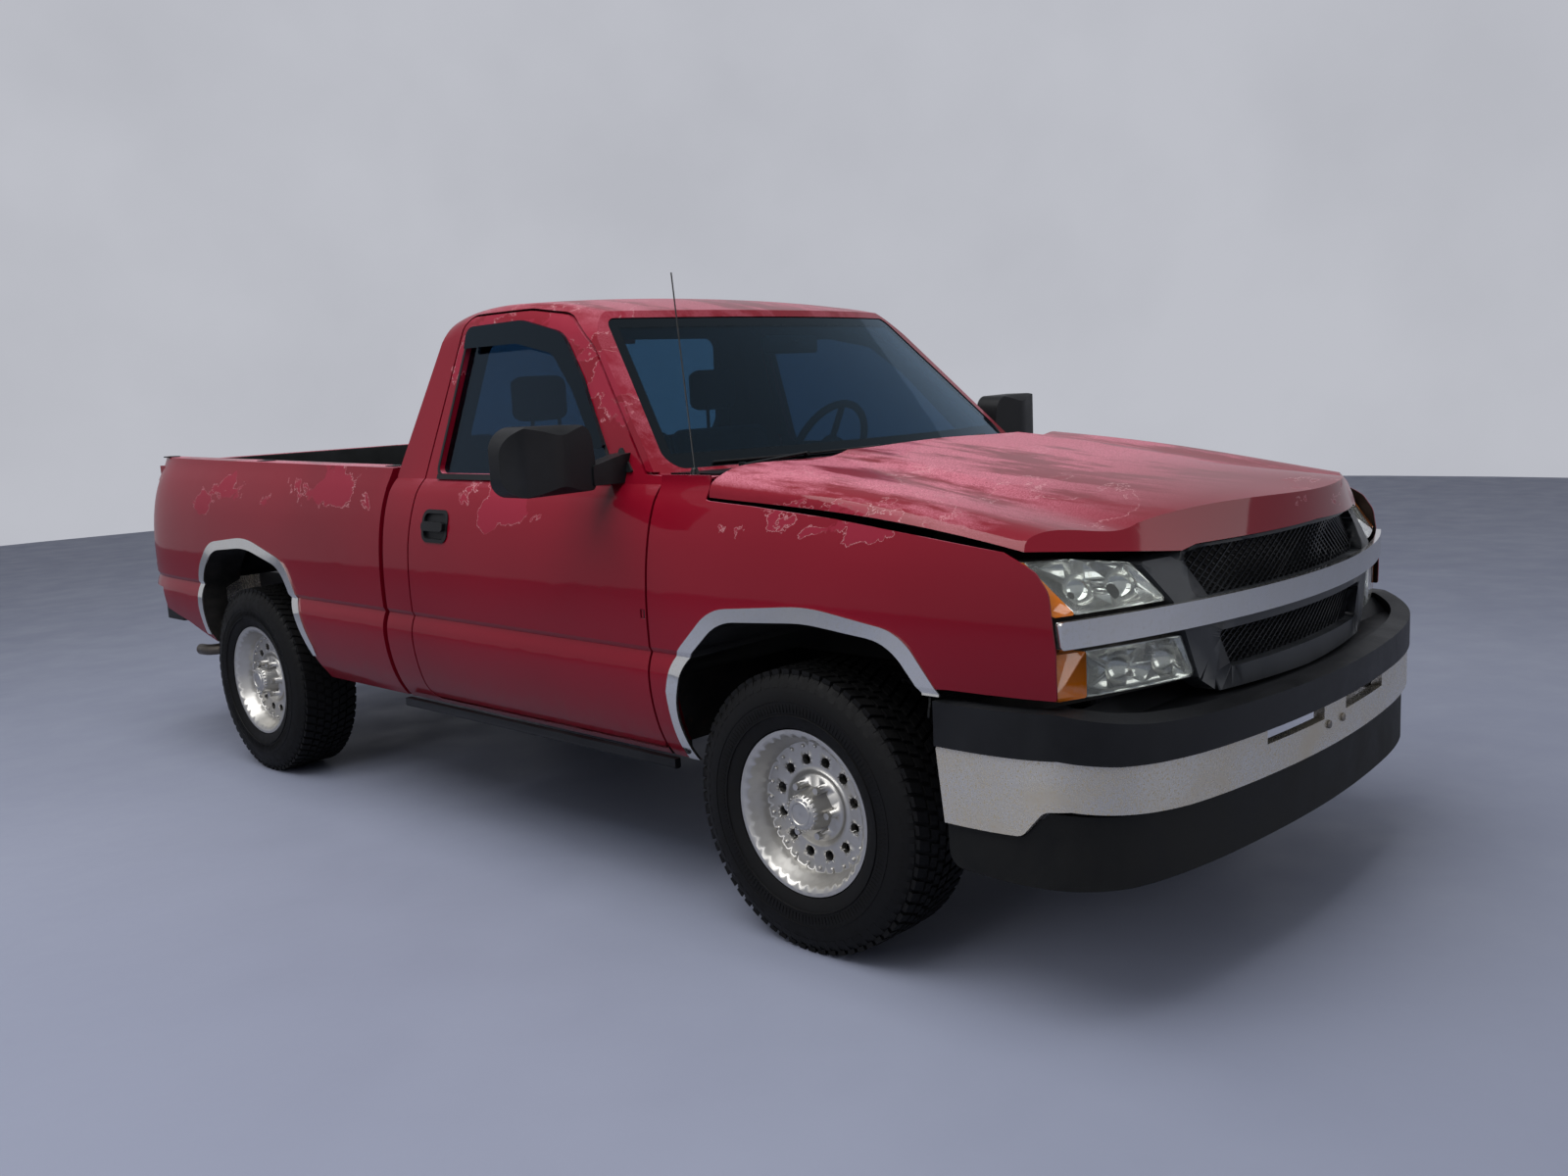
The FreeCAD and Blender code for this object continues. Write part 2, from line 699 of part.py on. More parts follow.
def leaning_slab(front, back, low, high):
    """Slab behind the nose's face where it leans back from the lamps to the hood."""
    levels = []
    if low < nose_knee:
        levels.append(nose_level(nose_knee, front, back))
        levels[0].translate(V(0, 0, low - nose_knee))
    if high > nose_knee:
        levels.append(nose_level(nose_knee, front, back))
        levels.append(nose_level(min(high, nose_crown), front, back))
    if high > nose_crown:
        levels.append(nose_level(nose_crown, front, back))
        levels[-1].translate(V(0, 0, high - nose_crown))
    return Part.makeLoft(levels, True, True)


def nose_slab(front, back, low, high):
    """Plan-curved slab behind the nose's face, between two depths."""
    def arc(depth):
        return [V(-nose_half_width - 60, nose_y + nose_bow * 1.13 + depth, low),
                V(0, nose_y + depth, low),
                V(nose_half_width + 60, nose_y + nose_bow * 1.13 + depth, low)]
    near = arc(front)
    far = arc(back)
    wire = Part.Wire([
        Part.Arc(*near).toShape(),
        Part.LineSegment(near[2], far[2]).toShape(),
        Part.Arc(*far[::-1]).toShape(),
        Part.LineSegment(far[0], near[0]).toShape()])
    return Part.Face(wire).extrude(V(0, 0, high - low))


lip_outline = [(-1100, 900, 0), (-1100, 1081, 0), (-900, 1083, 0), (-800, 1076, 60), (-657, 1052, 40),
               (-585, 1040, 20), (-540, 1056, 30), (-480, 1070, 60), (0, 1082, 0), (480, 1070, 60),
               (540, 1056, 30), (585, 1040, 20), (657, 1052, 40), (800, 1076, 60), (900, 1083, 0),
               (1100, 1081, 0), (1100, 900, 0)]


def hood_rear_plan(shift):
    """Plan of the hood's rear part, bowed forwards in the middle."""
    return [(-1000, hood_rear + shift, 0), (-820, hood_rear + shift, 60), (-600, hood_rear - 78 + shift, 200),
            (0, hood_rear - 94 + shift, 0), (600, hood_rear - 78 + shift, 200),
            (820, hood_rear + shift, 60), (1000, hood_rear + shift, 0)]


def hood_room():
    """Everything ahead of the hood's rear edge, with its gap."""
    plan = hood_rear_plan(hood_gap) + [(1000, -2700, 0), (-1000, -2700, 0)]
    return prism("plan", plan[::-1], 1150, 1400)


def hood_panel():
    outer = hood_loft(0, 0)
    plan = hood_rear_plan(0)
    trim = prism("plan", (plan + [(1000, -2700, 0), (-1000, -2700, 0)])[::-1], 900, 1400)
    body = outer.common(trim).common(leaning_slab(-8, 1600, 900, 1400))
    inner = hood_loft(hood_depth, hood_side)
    inner = inner.common(leaning_slab(18, 1600, 900, 1400))
    body = body.cut(inner)
    lip = prism("front", lip_outline, -2700, -2320)
    body = body.cut(lip)
    arm = block(-hood_hinge_x - 5, -hood_hinge_x + 5, hood_rear - 50, hood_axis_y, hood_axis_z - 6, hood_axis_z + 6)
    eye = rod(V(-hood_hinge_x - 5, hood_axis_y, hood_axis_z), V(-hood_hinge_x + 5, hood_axis_y, hood_axis_z), 7)
    arm = arm.fuse(eye)
    hole = rod(V(-hood_hinge_x - 9, hood_axis_y, hood_axis_z), V(-hood_hinge_x + 9, hood_axis_y, hood_axis_z),
               4 + seat_gap)
    body = body.fuse(arm).fuse(mirrored(arm)).cut(hole).cut(mirrored(hole))
    return solids(body)


def fender():
    """Right front fender, a thin pressing from the lamps to the door."""
    side = tapered_side(side_runs, fender_stations, 0, skin)
    corners = [(-2368, 772, 6), (-2368, 880, 40), (-2350, 1008, 60), (-2318, 1052, 30), (-2290, 1068, 40),
               (-2235, 1094, 0), (-1989, 1124, 0), (-1739, 1152, 0), (-1450, 1174, 0),
               (hood_rear - 8, 1183, 0), (hood_rear + 8, 1186, 6), (hood_rear + 8, belt_height, 0),
               (door_front, belt_height, 0), (door_front, sill_height, 0), (-1240, sill_height, 0),
               (-1240, 700, 0), (-2100, 772, 0)]
    side = side.common(prism("side", corners, -1100, -700))
    side = side.cut(arch_cutter(front_arch, front_axle_y, 0, -1100, -700))
    top = block(-906, -850, hood_rear + 8, door_front, 1240, 1245)
    shelf = prism("side", [(-2170, 1054, 0), (hood_rear, 1160, 0), (hood_rear, 1165, 0), (-2170, 1059, 0)],
                  -1000, -850)
    shelf = shelf.common(tapered_side(side_runs, fender_stations, skin - 2, 120))
    body = side.fuse(top).fuse(shelf)
    layer = tapered_side(side_runs, fender_stations, skin - 1, 32 - seat_gap)
    for z in (720, 1000):
        body = body.fuse(layer.common(block(-1100, -850, cab_front + 8, cab_front + 38, z, z + 60)))
    return solids(body)


def arch_trim(arch, axle_y, runs, stations):
    """Bright strip around a wheel arch, proud of the body side."""
    ring = arch_cutter(arch, axle_y, 44, -1100, -880).cut(arch_cutter(arch, axle_y, 0, -1100, -880))
    layer = tapered_side(runs, stations, -5, -0.3)
    return ring.common(layer)


def arch_trims():
    front = arch_trim(front_arch, front_axle_y, side_runs, fender_stations)
    front = front.common(block(-1100, -800, -2090, -1140, 425, 1000))
    front = front.cut(block(-1100, -800, -2200, -1800, 300, 752))
    rear = arch_trim(rear_arch, rear_axle_y, bed_runs, bed_stations)
    rear = rear.common(block(-1100, -800, 900, 1850, 536, 1000))
    parts = front.Solids + rear.Solids
    return Part.makeCompound(parts + [mirrored(part) for part in parts])


def bedside():
    """Right side of the bed: outer panel, top rail and inner wall."""
    outer_runs = bed_runs
    sections = []
    for y, inset in bed_stations:
        edges = side_edges(outer_runs, y, inset)
        start = edges[0].Vertexes[0].Point
        low_x = -(body_half_width - outer_runs[0][0][0] - inset)
        high_x = -(body_half_width - outer_runs[-1][-1][0] - inset)
        points = [V(high_x, y, 1310), V(-rail_inner_half, y, 1310), V(-rail_inner_half, y, 1210),
                  V(-bed_inner_half, y, 1195), V(-bed_inner_half, y, bed_floor - 30),
                  V(low_x + 26, y, bed_floor - 60), V(low_x + 26, y, start.z), V(low_x, y, start.z)]
        lines = [Part.LineSegment(points[i], points[i + 1]).toShape() for i in range(len(points) - 1)]
        sections.append(Part.Wire(edges + lines))
    wall = Part.makeLoft(sections, True, True)
    top = prism("side", [(bed_front - 10, rail_front_height, 0), (body_rear + 10, rail_rear_height, 0),
                         (body_rear + 10, 1400, 0), (bed_front - 10, 1400, 0)], -1100, -700)
    wall = wall.cut(top)
    wall = wall.cut(arch_cutter(rear_arch, rear_axle_y, 0, -1100, -700))
    tail = prism("side", [(1700, 300, 0), (1700, 470, 0), (1850, 520, 60), (2010, 575, 100), (2240, 620, 20),
                          (2270, 712, 10), (2520, 712, 0), (2520, 300, 0)], -1100, -700)
    wall = wall.cut(tail)
    post_inner = gate_half + gate_gap
    post = block(-850, -post_inner, body_rear - gate_thickness - 4, body_rear - 6, 730, 1245)
    wall = wall.fuse(post)
    wall = wall.cut(rod(V(-post_inner - 16, gate_axis_y, gate_axis_z), V(-post_inner + 5, gate_axis_y, gate_axis_z),
                        gate_pin + seat_gap))
    lamp = block(-1000, -862, body_rear - 62, body_rear + 10, 810, 1180)
    return wall.cut(lamp)


def bed_box():
    """Bed floor, front wall and wheelhouses."""
    half = bed_inner_half - 0.3
    rear = gate_axis_y - 20
    floor = block(-half, half, bed_front, rear, bed_floor - 5, bed_floor)
    sills = [block(-half, half, y, y + 60, bed_floor - 50, bed_floor - 5)
             for y in (bed_front, 760, 1160, 1640, 2040, rear - 60)]
    high = rail_inner_half - seat_gap
    wall = prism("front", [(-half, bed_floor - 5, 0), (half, bed_floor - 5, 0), (half, 1193, 0), (high, 1208, 0),
                           (high, rail_front_height - 10, 0), (-high, rail_front_height - 10, 0),
                           (-high, 1208, 0), (-half, 1193, 0)], bed_front, bed_front + 35)
    houses = []
    for sign in (-1, 1):
        inner = sign * wheelhouse_half
        outer = sign * half
        low, high = min(inner, outer), max(inner, outer)
        shape = [(rear_axle_y - 450, bed_floor - 5, 0), (rear_axle_y - 420, 960, 60),
                 (rear_axle_y - 250, 1040, 90), (rear_axle_y + 250, 1040, 90),
                 (rear_axle_y + 420, 960, 60), (rear_axle_y + 450, bed_floor - 5, 0)]
        house = prism("side", shape[::-1], low, high)
        houses.append(house)
    body = fused([floor, wall] + sills + houses)
    for index in range(-5, 6):
        middle = index * groove_pitch
        body = body.cut(block(middle - groove_width / 2, middle + groove_width / 2, bed_front + 80, rear - 50,
                              bed_floor - groove_depth, bed_floor + 5))
    for sign in (-1, 1):
        inner = sign * (wheelhouse_half + 6)
        outer = sign * (half + 10)
        low, high = min(inner, outer), max(inner, outer)
        shape = [(rear_axle_y - 440, bed_floor - 60, 0), (rear_axle_y - 412, 954, 60),
                 (rear_axle_y - 246, 1033, 86), (rear_axle_y + 246, 1033, 86),
                 (rear_axle_y + 412, 954, 60), (rear_axle_y + 440, bed_floor - 60, 0)]
        body = body.cut(prism("side", shape[::-1], low, high))
    return body


def tailgate():
    half = gate_half
    gate = prism("side", [(body_rear - gate_thickness, gate_bottom, 4), (body_rear, gate_bottom, 10),
                          (body_rear, 1262, 14), (body_rear - gate_thickness, 1262, 8)], -half, half)
    panel = prism("front", [(-half + 70, 860, 30), (half - 70, 860, 30), (half - 70, 1150, 30),
                            (-half + 70, 1150, 30)], body_rear - 4, body_rear + 10)
    grip = prism("front", [(-110, 1172, 12), (110, 1172, 12), (110, 1228, 12), (-110, 1228, 12)],
                 body_rear - 14, body_rear + 10)
    gate = gate.cut(panel).cut(grip)
    pin = rod(V(-half - gate_gap - 10, gate_axis_y, gate_axis_z), V(-half + 10, gate_axis_y, gate_axis_z), gate_pin)
    return gate.fuse(pin).fuse(mirrored(pin))


def bumper_plan(shift, half_end):
    """Outer edge of the front bumper in plan, moved inwards by shift."""
    points = [(0, bumper_y + shift), (400, bumper_y + 20 + shift), (700, bumper_y + 66 + shift),
              (852 - shift * 0.4, bumper_y + 122 + shift), (946 - shift, bumper_y + 208 + shift * 0.6),
              (984 - shift, bumper_y + 320), (half_end - shift, bumper_end_y)]
    right = [V(-x, y, 0) for x, y in points[::-1]]
    left = [V(x, y, 0) for x, y in points[1:]]
    return right + left


def bumper_strip(outer, inner, low, high):
    near = bumper_plan(outer, 984)
    far = bumper_plan(inner, 984)
    wire = Part.Wire([
        smooth(near),
        Part.LineSegment(near[-1], far[-1]).toShape(),
        smooth(far[::-1]),
        Part.LineSegment(far[0], near[0]).toShape()])
    wire.translate(V(0, 0, low))
    return Part.Face(wire).extrude(V(0, 0, high - low))


def front_bumper():
    strip = bumper_strip(0, bumper_steel, 440, 680)
    side = [(-2640, bumper_bottom, 0), (-2545, bumper_bottom + 4, 0), (-2400, 527, 0), (-2345, 524, 30),
            (-2295, 462, 30), (-2085, 456, 0), (bumper_end_y, 636, 8), (-2380, 642, 0), (-2480, 624, 0),
            (-2560, bumper_top + 4, 0), (-2640, bumper_top, 0)]
    shell = strip.common(prism("side", side, -1100, 1100))
    for sign in (-1, 1):
        low, high = sorted((sign * 70, sign * 370))
        shell = shell.cut(block(low, high, -2700, -2500, 578, 700))
        bracket = block(*sorted((sign * (rail_x - 34), sign * (rail_x + 34))), bumper_y + 30, -2482.3,
                        500, 572)
        shell = shell.fuse(bracket)
    return solids(shell)


def bumper_covers():
    """Black upper cover with its shelf, and the lower air dam."""
    upper = bumper_strip(-cover_proud, bumper_steel + 20, 600, 760)
    side = [(-2640, bumper_top + 1, 0), (-2560, bumper_top + 5, 0), (-2480, 625, 0), (-2380, 643, 0),
            (bumper_end_y, 637, 0), (bumper_end_y + 14, 744, 12), (-2380, 748, 60), (-2520, 712, 60),
            (-2640, 690, 0)]
    upper = upper.common(prism("side", side, -1100, 1100))
    shelf_plan = Part.Wire([
        smooth(bumper_plan(20, 984)),
        Part.LineSegment(bumper_plan(20, 984)[-1], bumper_plan(20, 984)[0]).toShape()])
    shelf_plan.translate(V(0, 0, 680))
    shelf = Part.Face(shelf_plan).extrude(V(0, 0, 80))
    shelf = shelf.common(prism("side", [(-2640, 684, 0), (-2500, 700, 0), (-2425, 701, 0), (-2372, 736, 0),
                                        (-2372, 728, 0), (-2425, 692, 0), (-2500, 690, 0), (-2640, 676, 0)],
                               -1100, 1100))
    upper = upper.fuse(shelf)
    dam = bumper_strip(14, 40, 330, 520)
    side = [(-2640, 345, 0), (-2480, 335, 0), (-2090, 350, 40), (-2084, 452, 0), (-2290, 458, 0),
            (-2350, 518, 0), (-2545, bumper_bottom - 1, 0), (-2640, bumper_bottom - 1, 0)]
    dam = dam.common(prism("side", side, -1100, 1100))
    return Part.makeCompound(solids(upper).Solids + solids(dam).Solids)


upper_opening = [(-520, 1048, 26), (-474, 942, 14), (474, 942, 14), (520, 1048, 26), (440, 1058, 60),
                 (0, 1066, 0), (-440, 1058, 60)]
lower_opening = [(-440, 858, 14), (-384, 762, 22), (384, 762, 22), (440, 858, 14)]
surround_outline = [(-636, 1042, 8), (-596, 950, 0), (-556, 872, 0), (-506, 752, 30), (-440, 712, 60),
                    (0, 703, 0), (440, 712, 60), (506, 752, 30), (556, 872, 0), (596, 950, 0),
                    (636, 1042, 8), (540, 1046, 20), (470, 1064, 40), (0, 1075, 0), (-470, 1064, 40),
                    (-540, 1046, 20)]


def mesh_bar(x0, z0, x1, z1, depth):
    """One straight bar of the grille's mesh between two places on the nose."""
    start = V(x0, nose_plan(x0, z0) + depth, z0)
    end = V(x1, nose_plan(x1, z1) + depth, z1)
    along = end - start
    along.normalize()
    across = V(0, 1, 0).cross(along)
    across.normalize()
    deep = along.cross(across)
    corners = [start + across * (mesh_bar_width / 2) + deep * (mesh_bar_depth / 2),
               start - across * (mesh_bar_width / 2) + deep * (mesh_bar_depth / 2),
               start - across * (mesh_bar_width / 2) - deep * (mesh_bar_depth / 2),
               start + across * (mesh_bar_width / 2) - deep * (mesh_bar_depth / 2)]
    face = Part.Face(Part.makePolygon(corners + [corners[0]]))
    return face.extrude(end - start)


def clipped(x0, z0, x1, z1, corners):
    """The part of a slanting line that lies inside an outline, as two ends."""
    shares = []
    count = len(corners)
    for index in range(count):
        ax, az, _ = corners[index]
        bx, bz, _ = corners[(index + 1) % count]
        cross = (x1 - x0) * (bz - az) - (z1 - z0) * (bx - ax)
        if abs(cross) < 1e-9:
            continue
        share = ((ax - x0) * (bz - az) - (az - z0) * (bx - ax)) / cross
        side = ((ax - x0) * (z1 - z0) - (az - z0) * (x1 - x0)) / cross
        if 0 <= side < 1:
            shares.append(share)
    if len(shares) < 2 or max(shares) - min(shares) < 0.04:
        return None
    length = math.hypot(x1 - x0, z1 - z0)
    start = min(shares) - mesh_seat / length
    end = max(shares) + mesh_seat / length
    return [x0 + start * (x1 - x0), z0 + start * (z1 - z0), x0 + end * (x1 - x0), z0 + end * (z1 - z0)]


def mesh_bars(opening, low, high):
    """Two layers of slanting bars that cross over one opening."""
    run = (high - low) / mesh_pitch_high * mesh_pitch_wide
    bars = []
    for lean, depth in ((1, mesh_front), (-1, mesh_front + mesh_bar_depth + mesh_layer_gap)):
        for step in range(-45, 46):
            x = step * mesh_pitch_wide - lean * run / 2
            ends = clipped(x, low, x + lean * run, high, opening)
            if ends:
                bars.append(mesh_bar(*ends, depth))
    return bars


def grille():
    slab = leaning_slab(16, lamp_back, 690, hood_lip - 2)
    frame = slab.common(prism("front", surround_outline[::-1], -2700, -2250))
    frame = frame.cut(prism("front", upper_opening, -2700, -2250))
    frame = frame.cut(prism("front", lower_opening, -2700, -2250))
    return fused([frame] + mesh_bars(upper_opening, 942, 1066) + mesh_bars(lower_opening, 762, 858))


def grille_bar():
    slab = nose_slab(0, 15.6, 878, 948)
    return slab.common(prism("front", [(-936, 884, 8), (936, 884, 8), (936, 946, 8), (-936, 946, 8)],
                             -2700, -2200))


upper_lens = [(-915, 1070, 6), (-872, 954, 6), (-606, 954, 10), (-654, 1044, 10), (-800, 1066, 80)]
upper_signal = [(-1000, 1076, 0), (-930, 954, 8), (-872.3, 954, 6), (-915.3, 1070, 6)]
lower_lens = [(-849, 870, 6), (-849, 765, 6), (-516, 762, 12), (-566, 866, 10)]
lower_signal = [(-930, 872, 0), (-930, 766, 8), (-849.3, 765, 6), (-849.3, 870, 6)]


def lamp_room():
    """Space on the right that the fender's front edge needs beside the lamps."""
    room = tapered_side(side_runs, fender_stations, -30, skin + 5)
    return room.common(prism("side", [(-2374, 740, 0), (-2374, 880, 40), (-2356, 1008, 60), (-2324, 1053, 30),
                                      (-2296, 1071, 40), (-2240, 1200, 0), (-2000, 1200, 0), (-2000, 740, 0)],
                             -1100, -700))


def lamp_pieces(front, back, shapes, grow):
    """Right and left lamp bodies between two depths behind the nose's face."""
    room = lamp_room()
    parts = []
    for shape in shapes:
        body = leaning_slab(front, back, 700, hood_lip - 6)
        body = body.common(prism("front", inset_outline(shape, grow), -2700, -2150))
        parts.append(max(body.cut(room).Solids, key=lambda solid: solid.Volume))
    return parts


def headlamps():
    """Clear lenses of the four lamps."""
    parts = lamp_pieces(lamp_face, lamp_face + lens_thickness, (upper_lens, lower_lens), 0)
    return Part.makeCompound(parts + [mirrored(part) for part in parts])


def lamp_reflectors():
    """Lamp bodies behind the lenses, each hollowed by two bowls."""
    start = lamp_face + lens_thickness + seat_gap
    parts = []
    bowls = {0: ((-700, 1002, 46), (-815, 1006, 42)), 1: ((-605, 815, 42), (-745, 815, 42))}
    for index, shape in enumerate((upper_lens, lower_lens)):
        body = fused(lamp_pieces(start, lamp_back, (shape,), 0))
        depth = fused(lamp_pieces(start - 1, start + 14, (shape,), 5))
        body = body.cut(depth)
        for x, z, radius in bowls[index]:
            body = body.cut(Part.makeSphere(radius, V(x, nose_plan(x, z) + start, z)))
        parts += body.Solids
    return Part.makeCompound(parts + [mirrored(part) for part in parts])


def signal_lenses():
    """Amber outer part of each lamp, wrapped round the corner."""
    parts = lamp_pieces(lamp_face, lamp_back, (upper_signal, lower_signal), 0)
    return Part.makeCompound(parts + [mirrored(part) for part in parts])


def radiator_support():
    """Panel behind the grille with the radiator in its middle."""
    behind = leaning_slab(lamp_back + seat_gap, 500, 590, 1040)
    panel = block(-700, 700, -2330, -2306, 600 + seat_gap, 1036).common(behind)
    core = block(-370, 370, -2306, -2260, 620, 1000)
    ledge = block(-740, 740, -2360, -2306, 760, 780)
    header = leaning_slab(lamp_back + seat_gap, lamp_back + 14, 740, 1030)
    header = header.common(block(-905, 905, -2600, -2200, 700, 1100))
    parts = [panel, core, ledge, header.cut(block(-500, 500, -2600, -2200, 700, 1100))]
    for sign in (-1, 1):
        parts.append(block(*sorted((sign * 505, sign * 545)), -2450, -2320, 760, 1000).common(behind))
    return fused(parts)


def wheel_about(x, y, make):
    """A wheel piece made about the origin, outer side to -X, put in place."""
    shape = make()
    if x > 0:
        shape = mirrored(shape)
    shape.translate(V(x, y, tyre_radius))
    return shape


def turned(corners):
    """Solid turned about the X axis from points (outward, radius)."""
    points = [V(-out, 0, radius) for out, radius in corners]
    points.append(points[0])
    return Part.Face(Part.makePolygon(points)).revolve(V(0, 0, 0), V(1, 0, 0), 360)


def tyre():
    w = tyre_half_width
    r = tyre_radius
    return turned([(88, rim_radius + 8), (105, rim_lip_radius + 1), (117, rim_lip_radius + 1),
                   (w - 3, rim_lip_radius + 46),
                   (w, rim_lip_radius + 84), (w - 14, r - 26), (w - 34, r - 6), (w - 62, r),
                   (62 - w, r), (34 - w, r - 6), (14 - w, r - 26), (-w, rim_lip_radius + 84),
                   (3 - w, rim_lip_radius + 46), (-117, rim_lip_radius + 1), (-105, rim_lip_radius + 1),
                   (-88, rim_radius + 8)])


def rim():
    lip = rim_lip_radius
    w = rim_half_width
    body = turned([(w, lip), (w, lip - 10), (w - 8, lip - 22), (w - 26, lip - 30), (w - 50, lip - 42),
                   (w - 64, lip - 46), (w - 66, hub_radius), (w - 58, hub_radius - 3), (w - 58, 50),
                   (w - 84, 50), (w - 84, hub_radius + 6), (w - 78, lip - 62), (30, lip - 40),
                   (-w + 14, lip - 22), (-w + 4, lip - 14), (-w, lip), (-w + 8, lip),
                   (-88, rim_radius + 7), (-30, rim_radius - 14), (30, rim_radius - 14),
                   (88, rim_radius + 7), (w - 9, lip)])
    cutters = []
    for index in range(rim_hole_count):
        angle = 2 * math.pi * (index + 0.5) / rim_hole_count
        y = rim_hole_circle * math.cos(angle)
        z = rim_hole_circle * math.sin(angle)
        cutters.append(Part.makeCylinder(rim_hole_radius, 80, V(-90, y, z), V(1, 0, 0)))
    body = body.cut(Part.makeCompound(cutters))
    cap = turned([(w - 70, 0), (w + 4, 0), (w + 7, hub_cap_radius - 8), (w, hub_cap_radius),
                  (w - 50, hub_cap_radius + 10), (w - 70, hub_cap_radius + 12)])
    nuts = []
    for index in range(stud_count):
        angle = 2 * math.pi * index / stud_count
        y = stud_circle / 2 * math.cos(angle)
        z = stud_circle / 2 * math.sin(angle)
        nuts.append(Part.makeCylinder(11, 34, V(-(w - 30), y, z), V(1, 0, 0)))
    return fused([body, cap] + nuts)


def rotor():
    """Brake disc with its hat, seated on the back of the wheel's face."""
    face = rim_half_width - 84
    disc = turned([(face - 0.3, 70), (face - 0.3, hub_radius + 4), (-20, hub_radius + 4), (-20, rotor_radius),
                   (-20 - rotor_thickness, rotor_radius), (-20 - rotor_thickness, 70), (face - 14, 70),
                   (face - 14, spindle_radius + spindle_clearance), (face - 0.3, spindle_radius + spindle_clearance)])
    return disc


def knuckle():
    """Right steering knuckle with its spindle, arm and brake caliper."""
    y = front_axle_y
    z = tyre_radius
    end = rim_half_width - 70 - seat_gap
    spindle = rod(V(-steer_axis_x + 10, y, z), V(-track_half - end, y, z), spindle_radius)
    carrier = prism("side", [(y - 50, z - lower_joint, 20), (y + 50, z - lower_joint, 20), (y + 62, z, 30),
                             (y + 30, z + upper_joint, 16), (y - 30, z + upper_joint, 16), (y - 62, z, 30)],
                    -steer_axis_x - 14, -steer_axis_x + 22)
    arm = prism("plan", [(-steer_axis_x - 10, y + 30, 4), (-steer_axis_x + 22, y + 30, 4),
                         (-steer_axis_x + 16, y + steering_arm_length + 18, 14),
                         (-steer_axis_x - 16, y + steering_arm_length + 18, 14)],
                z - 62, z - 40)
    caliper = prism("side", [(y - 176, z - 60, 16), (y - 100, z - 60, 10), (y - 84, z, 20),
                             (y - 100, z + 60, 10), (y - 176, z + 60, 16)],
                    -track_half - 4, -track_half + 68)
    slot = Part.makeCylinder(rotor_radius + 6, rotor_thickness + 12,
                             V(-track_half + 20 - 6, y, z), V(1, 0, 0))
    caliper = caliper.cut(slot).cut(rod(V(-900, y, z), V(-700, y, z), hub_radius + 14))
    bridge = block(-track_half + 56, -steer_axis_x + 10, y - 120, y - 40, z - 24, z + 24)
    return solids(fused([spindle, carrier, arm, caliper, bridge]))


def tie_rods():
    """Rack bar with a tie rod end below each steering arm."""
    y = front_axle_y + steering_arm_length
    top = tyre_radius - 62 - rod_gap
    bar = rod(V(-steer_axis_x + 40, y, top - 24), V(steer_axis_x - 40, y, top - 24), rod_radius)
    right_end = rod(V(-steer_axis_x, y, top - 40), V(-steer_axis_x, y, top), 15)
    neck = rod(V(-steer_axis_x, y, top - 24), V(-steer_axis_x + 60, y, top - 24), rod_radius)
    parts = [bar]
    for piece in (right_end, neck):
        parts += [piece, mirrored(piece)]
    return fused(parts)


def frame_ladder():
    """Two side rails with kick-ups over the axles, and their crossmembers."""
    h = rail_height
    top = [(-2482, 600, 0), (-2150, 600, 80), (-1950, 640, 80), (-1360, 640, 80), (-1190, 520, 80),
           (880, 520, 80), (1120, 730, 120), (1750, 730, 120), (1980, 700, 80), (2470, 700, 0)]
    low = [(y, z - (h if -1190 <= y <= 880 else h * 0.75), r) for y, z, r in top[::-1]]
    rail = prism("side", (top + low)[::-1], -rail_x - rail_width / 2, -rail_x + rail_width / 2)
    inside = rail_x + rail_width / 2
    members = [
        block(-inside, inside, -2300, -2240, 500, 580),
        block(-inside, inside, -1660, -1520, 380, 440),
        block(-inside, rail_width / 2 - rail_x, -1660, -1520, 380, 540),
        block(rail_x - rail_width / 2, inside, -1660, -1520, 380, 540),
        block(-inside, inside, -640, -560, 380, 430),
        block(-inside, inside, 250, 330, 484, 518),
        block(-inside, inside, 1180, 1240, 640, 720),
        block(-inside, inside, 1900, 1960, 610, 700),
        block(-inside, inside, 2400, 2460, 590, 690)]
    mounts = []
    for y in (-1000, -300, 250):
        mounts.append(rod(V(-rail_x - 60, y, 500), V(-rail_x - 60, y, cab_floor - 28.3), 26))
        mounts.append(block(-rail_x - 90, -rail_x, y - 30, y + 30, 480, 502))
    for y in (800, 1180, 2070):
        mounts.append(block(-rail_x - 30, -rail_x + 30, y - 18, y + 18, 480 if y < 900 else 690,
                            bed_floor - 50.3))
    parts = [rail, mirrored(rail)] + members
    for piece in mounts:
        parts += [piece, mirrored(piece)]
    return solids(fused(parts))


